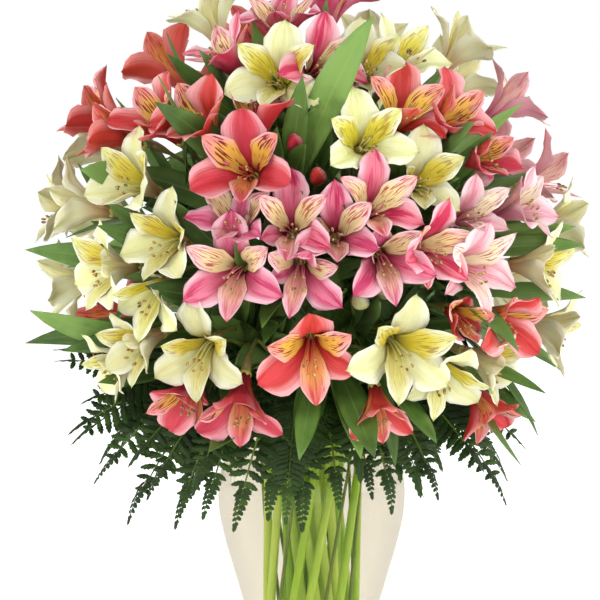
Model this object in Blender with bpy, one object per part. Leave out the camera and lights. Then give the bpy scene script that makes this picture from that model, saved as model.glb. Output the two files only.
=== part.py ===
"""A clear glass vase of mixed alstroemeria and leatherleaf fern.

Each flowering stem is two solids. The green stem carries whorls of lance-shaped leaves, and the
umbel on its top joins a small hub, its pedicels and its six-petalled blooms. Fern fronds arch over
the rim, and every stem stands in a hole in the water.

Lengths are in millimetres and become metres when a mesh is written. The origin is the middle of the
flat underside of the vase, +Z is up and the front of the bouquet looks along -Y.
"""

import math
import random
from dataclasses import dataclass, replace

import bmesh
import bpy
from mathutils import Vector
from mathutils.bvhtree import BVHTree

MM = 0.001
GAP = 0.4
CLEARANCE = 0.6
UP = Vector((0.0, 0.0, 1.0))
SEED = 7

# Vase: the outer outline from the foot to the rim, as (radius, height)
VASE_OUTLINE = (
    (41.0, 0.0), (39.6, 12.0), (39.6, 32.0), (43.0, 55.0), (50.0, 81.0), (58.5, 110.0),
    (62.8, 130.0), (63.4, 147.0), (60.0, 162.0), (50.0, 179.0), (44.6, 191.0), (48.0, 204.0),
)
VASE_SIDES = 24
VASE_WALL = 2.8
VASE_FLOOR = 8.0
RIM_ROUND = 0.8
WATER_LEVEL = 159.0

# Dome: the ellipsoid that the middle of every open bloom lies on, and the point the stems fan from
DOME_CENTRE = Vector((0.0, 0.0, 300.0))
DOME_RADII = Vector((172.0, 150.0, 172.0))
HEART = Vector((0.0, 0.0, 252.0))
HUB_DEPTH = 84.0

# Stems
STEM_SIDES = 5
STEM_FOOT_RADIUS = 2.7
STEM_TOP_RADIUS = 2.1
FOOT_LIFT = 1.0
NECK_HEIGHT = 188.0
WHORL_DROPS = (5.0, 22.0)
WHORL_HEIGHT = 3.5
LEAVES_PER_WHORL = (3, 2)

# Blooms
BLOOM_DEPTH = 30.0
CORE_RADIUS = 4.2
CORE_HEIGHT = 3.0
CORE_FACE = CORE_RADIUS * math.cos(math.pi / 6)
OVARY_LENGTH = 9.0
PEDICEL_RADIUS = 1.5
HUB_RADIUS = 4.0
HUB_RADII = (2.5, HUB_RADIUS, 2.4)
ROLL_SPREAD = 14.0
PETAL_SECTOR = 0.52
OUTER_CLOCK = (90, 210, 330)
INNER_CLOCK = (30, 150, 270)
INNER_FLARE_SHARE = 0.74
PETAL_START = 8.0
BUD_OUTLINE = ((4.0, 3.4), (12.0, 4.8), (19.0, 3.0))
BUD_LENGTH = 25.0

# Fronds
RIB_HALF_WIDTH = 1.2
RIB_HALF_DEPTH = 0.8
PINNA_PAIRS = 13
BLADE_START = 0.36
PINNA_SWEEP = 24.0
RIM_CLEARANCES = (24.0, 31.0, 37.0, 45.0, 19.0)

# What a petal, leaf, leaflet or pedicel tries in turn until it is clear of its neighbours
SWINGS = (0.0, -9.0, 9.0, -18.0, 18.0, -27.0, 27.0, -38.0, 38.0)
SCALES = (1.0, 0.86, 0.72, 0.58)
BENDS = (0.5, 0.3, 0.7, 0.12, 0.95)
ROOT_SHARE = 0.03
ROOT_HALF_WIDTH = 2.0
ROOT_HALF_DEPTH = 1.4


@dataclass(frozen=True)
class Slots:
    """A ring of stems: its radius at the feet and in the neck, and the turn between the two."""

    foot: float
    neck: float
    twist: float


OUTER = Slots(foot=31.0, neck=35.5, twist=58.0)
MIDDLE = Slots(foot=20.0, neck=21.5, twist=-78.0)
INNER = Slots(foot=8.2, neck=9.0, twist=80.0)


@dataclass(frozen=True)
class BladeForm:
    """A petal or a leaf: its length, its half width at shares of it, and whether it has a point."""

    length: float
    widths: tuple
    half_thickness: float = 0.4
    pointed: bool = True


OUTER_PETAL = BladeForm(length=47.0, widths=((0.68, 13.4), (0.98, 6.4)), pointed=False)
INNER_PETAL = BladeForm(length=46.0, widths=((0.64, 8.4),))
PLAIN_PETAL = BladeForm(length=46.0, widths=((0.72, 12.0),))
WHORL_LEAF = BladeForm(length=72.0, widths=((0.42, 7.4),), half_thickness=0.35)
LONG_LEAF = BladeForm(length=80.0, widths=((0.3, 6.8), (0.66, 7.2)), half_thickness=0.35)


@dataclass(frozen=True)
class Bloom:
    """One bloom, by where its middle is as seen from the front.

    turn and tip move its face, in degrees, to the right of and up from the dome's own outward
    direction. Its middle is on the front of the dome, or at the given depth, and sink moves it
    inwards.
    """

    x: float
    z: float
    turn: float = 0.0
    tip: float = 0.0
    size: float = 1.0
    flare: float = 76.0
    sink: float = 0.0
    depth: float | None = None
    bud: bool = False


@dataclass(frozen=True)
class Umbel:
    """One flowering stem: its colour, its ring in the neck, its blooms and its long leaves' tips."""

    name: str
    colour: str
    slots: Slots
    blooms: tuple
    leaves: tuple = ()


@dataclass(frozen=True)
class Frond:
    """One fern frond, by where its tip is."""

    name: str
    tip: tuple
    half_width: float = 34.0


def around(level, rise, **more):
    """A bloom on the sides or the back of the dome, by its bearing and its rise in degrees."""
    level, rise = math.radians(level), math.radians(rise)
    x = DOME_RADII.x * math.cos(level) * math.cos(rise)
    depth = DOME_RADII.y * math.sin(level) * math.cos(rise)
    return Bloom(x, DOME_CENTRE.z + DOME_RADII.z * math.sin(rise), depth=depth, **more)


UMBELS = (
    Umbel("cream_top", "cream", INNER, (
        Bloom(-23, 418, tip=-14, size=1.05, flare=84),
        around(172, 66),
    ), leaves=((-4, -126, 411), (-70, -84, 430))),
    Umbel("coral_upper_left", "coral", MIDDLE, (
        Bloom(-42, 362, tip=2, size=1.08, flare=84),
        Bloom(-72, 390, turn=-12, tip=12, flare=78),
        Bloom(-36, 399, tip=40, flare=66, sink=6),
        Bloom(-12, 383, bud=True),
        Bloom(4, 360, bud=True),
    ), leaves=((-98, -108, 414),)),
    Umbel("pink_left", "pink", MIDDLE, (
        Bloom(-50, 296, size=1.08, flare=88),
        Bloom(-48, 331, tip=30, flare=66),
        Bloom(-14, 326, tip=12, flare=70),
        Bloom(-8, 293, tip=-16, flare=72),
    )),
    Umbel("cream_lower_right", "cream", OUTER, (
        Bloom(57, 245, tip=4, size=1.12, flare=86),
        Bloom(84, 222, tip=-22, flare=72),
        Bloom(116, 232, turn=24, flare=66, size=0.92),
        Bloom(34, 272, bud=True),
        Bloom(52, 279, bud=True),
    ), leaves=((56, -124, 194),)),
    Umbel("coral_low", "coral", OUTER, (
        Bloom(-1, 243, tip=-6, size=1.1, flare=86),
        Bloom(42, 203, tip=-24, flare=62, size=0.8),
    ), leaves=((-8, -124, 182), (30, -122, 188))),
    Umbel("pink_centre", "pink", MIDDLE, (
        Bloom(14, 322, turn=-4, tip=10, flare=68),
        Bloom(40, 339, turn=6, tip=14, flare=74),
        Bloom(46, 303, tip=-6, flare=74),
        Bloom(76, 309, turn=14, flare=68),
    )),
    Umbel("cream_centre", "cream", INNER, (
        Bloom(34, 377, tip=-4, size=1.02, flare=80),
        Bloom(68, 352, turn=-6, flare=86),
    )),
    Umbel("coral_upper_right", "coral", MIDDLE, (
        Bloom(58, 396, tip=8, flare=80),
        Bloom(90, 392, turn=14, tip=6, flare=74),
        Bloom(110, 366, turn=10, flare=66, size=0.85),
    ), leaves=((112, -84, 412),)),
    Umbel("pale_right", "pale", MIDDLE, (
        Bloom(104, 297, turn=10, size=1.1, flare=82),
        Bloom(100, 333, turn=-6, tip=12, flare=72),
        Bloom(136, 336, turn=12, tip=10, flare=68),
        Bloom(122, 356, bud=True),
    ), leaves=((172, -40, 308),)),
    Umbel("cream_left", "cream", MIDDLE, (
        Bloom(-116, 352, turn=-6, tip=6, flare=72),
        Bloom(-154, 332, turn=-34, tip=-4, flare=66),
        Bloom(-94, 314, turn=-6, flare=82),
        Bloom(-134, 294, turn=-14, flare=78),
        Bloom(-105, 277, turn=-6, tip=-16, flare=72),
    ), leaves=((-186, -34, 314),)),
    Umbel("pink_crown", "pink", INNER, (
        Bloom(-20, 455, tip=10, flare=74),
        Bloom(-56, 432, turn=-34, tip=8, flare=66),
        Bloom(6, 424, turn=14, tip=-18, flare=70),
        around(70, 78),
    ), leaves=((35, -58, 460), (-92, -50, 428))),
    Umbel("cream_crown", "cream", INNER, (
        Bloom(34, 424, tip=-6, flare=78),
        Bloom(60, 430, turn=24, tip=4, flare=66),
        around(-2, 54, flare=72),
    ), leaves=((96, -40, 440),)),
    Umbel("coral_far_left", "coral", MIDDLE, (
        Bloom(-132, 381, turn=-30, tip=-8, flare=66),
        Bloom(-100, 390, turn=-10, tip=6, flare=70),
        around(178, 32, flare=70),
    ), leaves=((-126, -56, 404), (-160, -66, 356))),
    Umbel("cream_lower_left", "cream", OUTER, (
        Bloom(-72, 243, tip=2, flare=84),
        Bloom(-128, 230, turn=-20, tip=-6, flare=62, size=0.86),
        Bloom(-112, 246, turn=-8, flare=68, size=0.9),
    ), leaves=((-184, -44, 262),)),
    Umbel("coral_low_left", "coral", OUTER, (
        Bloom(-46, 205, tip=-26, flare=70),
        Bloom(-80, 209, turn=-6, tip=-20, flare=66, size=0.92),
    )),
    Umbel("coral_right", "coral", OUTER, (
        Bloom(126, 260, turn=10, flare=80),
        Bloom(96, 264, turn=-4, flare=70, size=0.9),
        Bloom(112, 200, tip=-18, flare=62, size=0.85),
    ), leaves=((146, -72, 216), (132, -112, 250))),
    Umbel("cream_far_right", "cream", OUTER, (
        Bloom(150, 294, turn=12, flare=76),
        around(4, 6, flare=72),
        around(-6, -18, flare=70),
    ), leaves=((176, -30, 271), (134, -56, 172))),
    Umbel("coral_back_top", "coral", INNER, (
        around(112, 57),
        around(146, 46),
        around(118, 35),
    ), leaves=((-66, 104, 440),)),
    Umbel("cream_back_top", "cream", MIDDLE, (
        around(66, 54, flare=80),
        around(38, 42),
        around(76, 33, flare=78),
    ), leaves=((60, 118, 420),)),
    Umbel("pale_back", "pale", MIDDLE, (
        around(12, 36),
        around(34, 20),
        around(12, 16),
    ), leaves=((160, 68, 372),)),
    Umbel("pink_back", "pink", MIDDLE, (
        around(108, 14),
        around(92, 26),
        around(76, 12),
        around(93, 0),
    ), leaves=((2, 160, 266),)),
    Umbel("cream_back_left", "cream", MIDDLE, (
        around(179, 10),
        around(158, 24),
        around(146, 8),
        around(166, -8, flare=72),
    ), leaves=((-172, 66, 346),)),
    Umbel("coral_back_low", "coral", OUTER, (
        around(126, -8),
        around(147, -18),
        around(110, -22, tip=-8),
    ), leaves=((-128, 104, 226),)),
    Umbel("cream_back_low", "cream", OUTER, (
        around(54, -2),
        around(34, -10),
        around(62, -23, flare=72),
        around(84, -20, flare=72),
    ), leaves=((140, 84, 250),)),
)

FRONDS = (
    Frond("fern_far_left", (-166, -30, 238)),
    Frond("fern_left", (-136, -46, 166), half_width=40.0),
    Frond("fern_front_left", (-82, -80, 140), half_width=40.0),
    Frond("fern_front", (-16, -106, 138), half_width=32.0),
    Frond("fern_front_right", (70, -88, 150), half_width=38.0),
    Frond("fern_right", (126, -36, 154), half_width=40.0),
    Frond("fern_back_right", (88, 84, 146), half_width=40.0),
    Frond("fern_back", (-6, 114, 142), half_width=40.0),
    Frond("fern_back_left", (-98, 74, 150), half_width=40.0),
)


COLOURS = {
    "cream": (0.80, 0.74, 0.46, 1.0),
    "coral": (0.80, 0.16, 0.12, 1.0),
    "pink": (0.78, 0.20, 0.34, 1.0),
    "pale": (0.83, 0.45, 0.52, 1.0),
    "stem": (0.20, 0.36, 0.05, 1.0),
    "fern": (0.03, 0.11, 0.02, 1.0),
    "glass": (0.82, 0.83, 0.80, 0.35),
    "water": (0.86, 0.89, 0.86, 0.35),
}
ROUGHNESS = {"glass": 0.05, "water": 0.05, "stem": 0.45, "fern": 0.5}
PETAL_ROUGHNESS = 0.6


def across(direction, towards):
    """A unit vector square to direction, on the side that towards points to."""
    side = towards - direction * towards.dot(direction)
    if side.length < 0.05 * towards.length:
        side = direction.orthogonal()
    return side.normalized()


def polar(radius, degrees, height):
    """A point by its radius and bearing about the vase's axis, and its height."""
    angle = math.radians(degrees)
    return Vector((radius * math.cos(angle), radius * math.sin(angle), height))


def bearing(point):
    return math.degrees(math.atan2(point.y, point.x))


def bezier(points, share):
    """A point on the Bezier curve of any number of control points."""
    while len(points) > 1:
        points = [a.lerp(b, share) for a, b in zip(points, points[1:])]
    return points[0]


def bounds(points):
    """The lowest and the highest corner of some points."""
    low = [min(point[i] for point in points) for i in range(3)]
    high = [max(point[i] for point in points) for i in range(3)]
    return low, high


def shell_faces(ring_count, sides):
    """The faces of a closed tube whose points are listed ring by ring."""
    faces = [tuple(range(sides)), tuple(range((ring_count - 1) * sides, ring_count * sides))]
    for ring in range(ring_count - 1):
        for k in range(sides):
            n = (k + 1) % sides
            low, high = ring * sides, (ring + 1) * sides
            faces.append((low + k, low + n, high + n, high + k))
    return faces


class Space:
    """What is placed so far: a search tree for each solid, with the node and piece it belongs to."""

    def __init__(self):
        self.placed = []

    def add(self, label, shape):
        self.placed.append((label, BVHTree.FromPolygons(*shape), *bounds(shape[0])))

    def hits(self, label, shape):
        """The labels of what a shape crosses, apart from its own and its node's first piece."""
        tree = BVHTree.FromPolygons(*shape)
        low, high = bounds(shape[0])
        found = set()
        for other, other_tree, other_low, other_high in self.placed:
            if other in (label, (label[0], 0)) or other in found:
                continue
            if any(low[i] > other_high[i] or high[i] < other_low[i] for i in range(3)):
                continue
            if tree.overlap(other_tree):
                found.add(other)
        return found

    def first_clear(self, label, options):
        """The first option that crosses nothing, or else the first that crosses only its own node."""
        fused = None
        for option in options:
            found = self.hits(label, option.shape(CLEARANCE))
            if not found:
                return option
            if fused is None and all(node == label[0] for node, _ in found):
                fused = option
        return fused


@dataclass(frozen=True)
class Limb:
    """A round stem along a path, with a radius at each of its points."""

    path: tuple
    radii: tuple
    sides: int

    def direction(self, k):
        """The path's direction at its point k."""
        last = len(self.path) - 1
        return (self.path[min(k + 1, last)] - self.path[max(k - 1, 0)]).normalized()

    def rings(self, swell=0.0):
        rings = []
        side = Vector((1.0, 0.0, 0.0))
        for k, (centre, radius) in enumerate(zip(self.path, self.radii)):
            along = self.direction(k)
            side = across(along, side)
            other = along.cross(side)
            spokes = [2 * math.pi * corner / self.sides for corner in range(self.sides)]
            rings.append([
                centre + (side * math.cos(a) + other * math.sin(a)) * (radius + swell)
                for a in spokes
            ])
        return rings

    def shape(self, swell=0.0):
        """The limb as points and faces, swollen all round."""
        rings = self.rings(swell)
        return [p for ring in rings for p in ring], shell_faces(len(rings), self.sides)


@dataclass(frozen=True)
class Blade:
    """A flat blade whose midline is an arc, from angles[0] to angles[1] off its axis."""

    form: BladeForm
    root: Vector
    axis: Vector
    outward: Vector
    angles: tuple
    scale: float = 1.0
    sector: float = 0.0

    def midline(self, share):
        """A point on the midline, and the midline's direction there."""
        start, end = (math.radians(angle) for angle in self.angles)
        turn = end - start if abs(end - start) > 0.01 else 0.01
        angle = start + turn * share
        radius = self.form.length * self.scale / turn
        out = radius * (math.cos(start) - math.cos(angle))
        along = radius * (math.sin(angle) - math.sin(start))
        point = self.root + self.outward * out + self.axis * along
        return point, self.axis * math.cos(angle) + self.outward * math.sin(angle)

    def side(self):
        return self.axis.cross(self.outward).normalized()

    def rings(self, swell=0.0):
        """Each station's corners, by which side and which face they are on, and the tip."""
        side = self.side()
        rings = []
        for share, width in self.form.widths:
            centre, along = self.midline(share)
            half = width * self.scale
            if self.sector:
                reach = (centre - self.root).dot(self.outward) + CORE_FACE
                half = min(half, self.sector * reach)
            inner = along.cross(side)
            thick = self.form.half_thickness + swell
            rings.append({
                (s, f): centre + side * (s * (half + swell)) + inner * (f * thick)
                for s in (-1, 1) for f in (-1, 1)
            })
        tip, along = self.midline(1.0)
        return rings, tip + along * swell

    def shape(self, swell=0.0):
        """The blade beyond its root as points and faces, swollen all round."""
        rings, tip = self.rings(swell)
        start, along = self.midline(ROOT_SHARE)
        inner = along.cross(self.side())
        neck = ROOT_HALF_WIDTH + swell
        thick = ROOT_HALF_DEPTH + swell
        corners = ((-1, -1), (1, -1), (1, 1), (-1, 1))
        points = [start + self.side() * (s * neck) + inner * (f * thick) for s, f in corners]
        points += [ring[corner] for ring in rings for corner in corners]
        faces = shell_faces(len(rings) + 1, len(corners))
        if not self.form.pointed:
            return points, faces
        last = len(points) - len(corners)
        points.append(tip)
        faces[1] = (last, last + 1, len(points) - 1)
        for k in range(1, len(corners)):
            faces.append((last + k, last + (k + 1) % len(corners), len(points) - 1))
        return points, faces


@dataclass(frozen=True)
class Pinna:
    """A pointed leaflet on one cell of a frond's rib."""

    corners: tuple
    tip: Vector

    def shape(self, swell=0.0):
        """The leaflet as points and faces, swollen at its root and its tip."""
        middle = sum(self.corners, Vector()) / len(self.corners)
        along = (self.tip - middle).normalized()
        root = [
            corner.lerp(self.tip, ROOT_SHARE) + (corner - middle).normalized() * swell
            for corner in self.corners
        ]
        points = [*root, self.tip + along * swell]
        return points, [(0, 1, 2, 3), (0, 1, 4), (1, 2, 4), (2, 3, 4), (3, 0, 4)]


def extruded(bm, face, points):
    """Extrudes one face by itself and puts the new face's corners at points, in its own order."""
    face = bmesh.ops.extrude_discrete_faces(bm, faces=[face])["faces"][0]
    for vert, point in zip(face.verts, points):
        vert.co = point
    return face


def swept(bm, rings):
    """A closed tube through rings of points, and its side faces, a list for each stretch."""
    foot = [bm.verts.new(point) for point in rings[0]]
    face = bm.faces.new(foot)
    stretches = []
    for ring in rings[1:]:
        face = extruded(bm, face, ring)
        stretches.append([
            next(side for side in edge.link_faces if side is not face) for edge in face.edges
        ])
    bm.faces.new(reversed(foot))
    return face, stretches


def grow_blade(bm, face, blade):
    """Draws a side face out into a blade: the edge of the face on the axis side turns inwards."""
    side = blade.side()
    centre = face.calc_center_median()
    keys = [
        (1 if (vert.co - centre).dot(side) > 0 else -1,
         1 if (vert.co - centre).dot(blade.axis) > 0 else -1)
        for vert in face.verts
    ]
    rings, tip = blade.rings()
    for ring in rings:
        face = extruded(bm, face, [ring[key] for key in keys])
    if blade.form.pointed:
        point_out(bm, face, tip)


def point_out(bm, face, tip):
    """Ends a face in a point."""
    bmesh.ops.poke(bm, faces=[face])["verts"][0].co = tip


def swings(make):
    """The shapes that make gives for each scale and swing, in the order they are tried."""
    return (make(scale, swing) for scale in SCALES for swing in SWINGS)


def material(name):
    """A Principled material in the colour of that name."""
    made = bpy.data.materials.get(name)
    if made is None:
        made = bpy.data.materials.new(name)
        made.use_nodes = True
        shader = made.node_tree.nodes["Principled BSDF"]
        shader.inputs["Base Color"].default_value = COLOURS[name]
        shader.inputs["Roughness"].default_value = ROUGHNESS.get(name, PETAL_ROUGHNESS)
        shader.inputs["Alpha"].default_value = COLOURS[name][3]
    return made


def finished(bm, name, colour, collection=None):
    """Writes a bmesh, in millimetres, as an object in metres."""
    bmesh.ops.recalc_face_normals(bm, faces=bm.faces)
    bmesh.ops.scale(bm, vec=(MM, MM, MM), verts=bm.verts)
    mesh = bpy.data.meshes.new(name)
    bm.to_mesh(mesh)
    bm.free()
    mesh.materials.append(material(colour))
    made = bpy.data.objects.new(name, mesh)
    (collection or bpy.context.scene.collection).objects.link(made)
    return made


def combined(body, others, operation):
    """Applies one exact Boolean of a collection's objects to a body, and removes those objects."""
    boolean = body.modifiers.new("Join", "BOOLEAN")
    boolean.operation = operation
    boolean.operand_type = "COLLECTION"
    boolean.collection = others
    boolean.solver = "EXACT"
    graph = bpy.context.evaluated_depsgraph_get()
    mesh = bpy.data.meshes.new_from_object(body.evaluated_get(graph))
    body.modifiers.clear()
    body.data = mesh
    mesh.name = body.name
    for other in list(others.objects):
        bpy.data.objects.remove(other)
    bpy.data.collections.remove(others)
    return body


def helpers(name):
    """A new collection in the scene for a Boolean's other operands."""
    made = bpy.data.collections.new(name)
    bpy.context.scene.collection.children.link(made)
    return made


def circle(radius, height, sides):
    return [polar(radius, 360.0 * k / sides, height) for k in range(sides)]


def vase_radius(height):
    """The vase's outer radius at a height."""
    for (low, bottom), (high, top) in zip(VASE_OUTLINE, VASE_OUTLINE[1:]):
        if bottom <= height <= top:
            return low + (high - low) * (height - bottom) / (top - bottom)
    return VASE_OUTLINE[-1][0]


def make_vase(space):
    """The glass: up the outer outline, over a rounded rim and down the inner wall to the floor."""
    rim_radius, rim_height = VASE_OUTLINE[-1]
    profile = list(VASE_OUTLINE)
    profile.append((rim_radius - RIM_ROUND, rim_height + RIM_ROUND))
    profile.append((rim_radius - VASE_WALL + RIM_ROUND, rim_height + RIM_ROUND))
    profile += [(r - VASE_WALL, z) for r, z in reversed(VASE_OUTLINE) if z > VASE_FLOOR]
    profile.append((vase_radius(VASE_FLOOR) - VASE_WALL, VASE_FLOOR))
    rings = [circle(radius, height, VASE_SIDES) for radius, height in profile]
    faces = shell_faces(len(rings), VASE_SIDES)
    space.add(("vase", 0), ([point for ring in rings for point in ring], faces))
    bm = bmesh.new()
    swept(bm, rings)
    finished(bm, "vase", "glass")


def make_water(limbs):
    """The water, a gap inside the glass, with a hole right through for each stem."""
    heights = [VASE_FLOOR + GAP]
    heights += [z for _, z in VASE_OUTLINE if VASE_FLOOR < z < WATER_LEVEL]
    heights.append(WATER_LEVEL)
    bm = bmesh.new()
    swept(bm, [circle(vase_radius(z) - VASE_WALL - GAP, z, VASE_SIDES) for z in heights])
    water = finished(bm, "water", "water")
    holes = helpers("holes")
    for limb in limbs:
        low, high = limb.rings(GAP)[:2]
        below = [bottom.lerp(top, -0.1) for bottom, top in zip(low, high)]
        bm = bmesh.new()
        swept(bm, [below, high])
        finished(bm, "hole", "water", holes)
    combined(water, holes, "DIFFERENCE")


def middle_of(bloom):
    """Where a bloom's middle is, and the direction that its face looks in."""
    share = Vector((bloom.x / DOME_RADII.x, 0.0, (bloom.z - DOME_CENTRE.z) / DOME_RADII.z))
    depth = DOME_RADII.y * math.sqrt(max(0.0, 1.0 - share.length_squared))
    point = Vector((bloom.x, -depth if bloom.depth is None else bloom.depth, bloom.z))
    offset = point - DOME_CENTRE
    out = Vector([offset[i] / DOME_RADII[i] ** 2 for i in range(3)]).normalized()
    level = math.radians(bearing(out) + bloom.turn)
    rise = math.asin(out.z) + math.radians(bloom.tip)
    rise = max(-1.45, min(1.45, rise))
    face = Vector((math.cos(level) * math.cos(rise), math.sin(level) * math.cos(rise), math.sin(rise)))
    return point - out * bloom.sink, face


def hub_of(umbel):
    """Where an umbel's hub is: inwards from the mean of its blooms, towards the heart."""
    middles = [middle_of(bloom)[0] for bloom in umbel.blooms]
    mean = sum(middles, Vector()) / len(middles)
    return mean + (HEART - mean).normalized() * HUB_DEPTH


def base_of(bloom):
    """Where a bloom's core begins, below its ovary's top."""
    middle, face = middle_of(bloom)
    return middle - face * BLOOM_DEPTH * bloom.size, face


def stem_slots():
    """Each stem's ring and its bearing in the neck, spread evenly in the order of their bearings."""
    wanted = [(umbel.name, umbel.slots, bearing(hub_of(umbel))) for umbel in UMBELS]
    wanted += [(frond.name, OUTER, bearing(Vector(frond.tip))) for frond in FRONDS]
    placed = {}
    for ring in (OUTER, MIDDLE, INNER):
        members = sorted((angle % 360.0, name) for name, slots, angle in wanted if slots is ring)
        step = 360.0 / len(members)
        drift = [math.radians(angle - k * step) for k, (angle, _) in enumerate(members)]
        start = math.degrees(math.atan2(sum(map(math.sin, drift)), sum(map(math.cos, drift))))
        for k, (_, name) in enumerate(members):
            placed[name] = (ring, start + k * step)
    return placed


def foot_and_neck(ring, angle):
    """The two ends of a stem's straight stretch in the vase."""
    foot = polar(ring.foot, angle - ring.twist, VASE_FLOOR + FOOT_LIFT)
    return foot, polar(ring.neck, angle, NECK_HEIGHT)


def stem_options(umbel, placed):
    """The stems that would reach an umbel's hub, from the plainest curve on."""
    ring, angle = placed[umbel.name]
    foot, neck = foot_and_neck(ring, angle)
    hub = hub_of(umbel)
    rise = (neck - foot).normalized()
    for bend in BENDS:
        knee = neck + rise * (hub - neck).length * bend
        curve = [neck, knee, hub]
        length = (hub - knee).length + (knee - neck).length
        top = 1.0 - (HUB_RADIUS + GAP) / length
        leafy = [
            top - drop / length
            for whorl in reversed(WHORL_DROPS) for drop in (whorl + WHORL_HEIGHT, whorl)
        ]
        shares = [leafy[0] / 2, *leafy, top]
        path = (foot, neck, *(bezier(curve, share) for share in shares))
        spread = STEM_FOOT_RADIUS - STEM_TOP_RADIUS
        radii = (STEM_FOOT_RADIUS, STEM_FOOT_RADIUS, *(
            STEM_FOOT_RADIUS - spread * share for share in shares
        ))
        yield Limb(path, radii, STEM_SIDES)


def make_stem(space, rng, umbel, limb):
    """A stem with two whorls of leaves below its hub, and the long leaves that reach out."""
    bm = bmesh.new()
    _, stretches = swept(bm, limb.rings())
    label = ("stem_" + umbel.name, 0)
    upper, lower = len(stretches) - 2, len(stretches) - 4
    whorls = {upper: list(stretches[upper]), lower: list(stretches[lower])}
    for target in umbel.leaves:
        axis = limb.direction(upper + 1)
        free = whorls[upper]
        wanted = across(axis, Vector(target) - limb.path[upper])
        face = max(free, key=lambda side: (side.calc_center_median() - limb.path[upper]).dot(wanted))
        blade = space.first_clear(label, aimed_leaves(face, axis, Vector(target)))
        if blade:
            free.remove(face)
            space.add(label, blade.shape())
            grow_blade(bm, face, blade)
    for (stretch, free), count in zip(whorls.items(), LEAVES_PER_WHORL):
        axis = limb.direction(stretch + 1)
        for face in rng.sample(free, min(count, len(free))):
            lean = rng.uniform(-12.0, 12.0)
            blade = space.first_clear(label, whorl_leaves(face, axis, lean))
            if blade:
                space.add(label, blade.shape())
                grow_blade(bm, face, blade)
    finished(bm, label[0], "stem")


def aimed_leaves(face, axis, target):
    """Long leaves from a face of a whorl that end at a target, then ones that end beside it."""
    root = face.calc_center_median()
    outward = across(axis, target - root)
    chord = target - root
    middle = math.degrees(chord.angle(axis))
    bend = 18.0
    size = chord.length / LONG_LEAF.length
    return swings(lambda scale, swing: Blade(
        LONG_LEAF, root, axis, outward, (middle - bend + swing, middle + bend + swing), size * scale
    ))


def whorl_leaves(face, axis, lean):
    """Leaves that rise from a face of a whorl and arch outwards."""
    root = face.calc_center_median()
    outward = across(axis, face.normal)
    return swings(lambda scale, swing: Blade(
        WHORL_LEAF, root, axis, outward, (38.0 + lean + swing, 92.0 + lean + swing), scale
    ))


def pedicel_options(hub, bloom):
    """Pedicels from the hub to a bloom's ovary, from the plainest curve on."""
    base, face = base_of(bloom)
    end = base - face * OVARY_LENGTH
    for bend in BENDS:
        knee = end - face * (end - hub).length * bend
        path = tuple(bezier([hub, knee, end], share) for share in (0.0, 0.55, 1.0))
        yield Limb(path, (PEDICEL_RADIUS,) * len(path), 3)


def face_frame(face):
    """The directions that are up and right on a bloom's face, seen from in front of it."""
    up = across(face, UP)
    return up, up.cross(face)


def hexagon(centre, radius, up, right, roll):
    """Six corners round a bloom's axis, the first at the right, anticlockwise from in front."""
    corners = []
    for k in range(6):
        angle = math.radians(60.0 * k + roll)
        corners.append(centre + (right * math.cos(angle) + up * math.sin(angle)) * radius)
    return corners


def petal_options(form, base, face, outward, flare):
    """A petal that opens by flare, then ones that open more or less, or are shorter."""
    root = base + face * (CORE_HEIGHT / 2) + outward * CORE_FACE
    return swings(lambda scale, swing: Blade(
        form, root, face, outward, (PETAL_START, max(16.0, flare + swing)), scale, PETAL_SECTOR
    ))


def make_bloom(space, label, bloom, pedicel, roll):
    """One bloom: pedicel, ovary and core, with three outer and three inner petals."""
    base, face = base_of(bloom)
    up, right = face_frame(face)
    bm = bmesh.new()
    throat = hexagon(base, CORE_RADIUS, up, right, roll)
    top, stretches = swept(bm, [throat, [corner + face * CORE_HEIGHT for corner in throat]])
    sides = stretches[0]
    under = next(found for found in bm.faces if found is not top and found not in sides)
    end = pedicel.path[-1]
    ring = [end + (vert.co - base) * (PEDICEL_RADIUS / CORE_RADIUS) for vert in under.verts]
    for k in (0, 2, 4):
        ring[k] = ring[k + 1] = (ring[k] + ring[k + 1]) / 2
    under = extruded(bm, under, ring)
    corners = list(under.verts)
    bmesh.ops.weld_verts(bm, targetmap={corners[k]: corners[k + 1] for k in (0, 2, 4)})
    under = next(f for f in corners[1].link_faces if corners[3] in f.verts and corners[5] in f.verts)
    for k in range(len(pedicel.path) - 2, -1, -1):
        shift = pedicel.path[k] - pedicel.path[k + 1]
        turn = pedicel.direction(k + 1).rotation_difference(pedicel.direction(k))
        centre = pedicel.path[k + 1]
        under = extruded(bm, under, [
            centre + shift + turn @ (vert.co - centre) for vert in under.verts
        ])
    for clock, form, share in petal_plan(bloom):
        angle = math.radians(clock + roll)
        outward = right * math.cos(angle) + up * math.sin(angle)
        options = petal_options(form, base, face, outward, bloom.flare * share)
        blade = space.first_clear(label, options)
        if blade:
            space.add(label, blade.shape())
            side = max(sides, key=lambda found: (found.calc_center_median() - base).dot(outward))
            sides.remove(side)
            grow_blade(bm, side, blade)
    return bm


def petal_plan(bloom):
    """Each petal's clock angle, form and share of the flare. Blooms behind have plainer ones."""
    shown = bloom.depth is None
    outer, inner = (OUTER_PETAL, INNER_PETAL) if shown else (PLAIN_PETAL, PLAIN_PETAL)
    plan = [(clock, sized(outer, bloom.size), 1.0) for clock in OUTER_CLOCK]
    plan += [(clock, sized(inner, bloom.size), INNER_FLARE_SHARE) for clock in INNER_CLOCK]
    return plan


def sized(form, size):
    """A blade form at another size, as thick as before."""
    widths = tuple((share, width * size) for share, width in form.widths)
    return replace(form, length=form.length * size, widths=widths)


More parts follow.
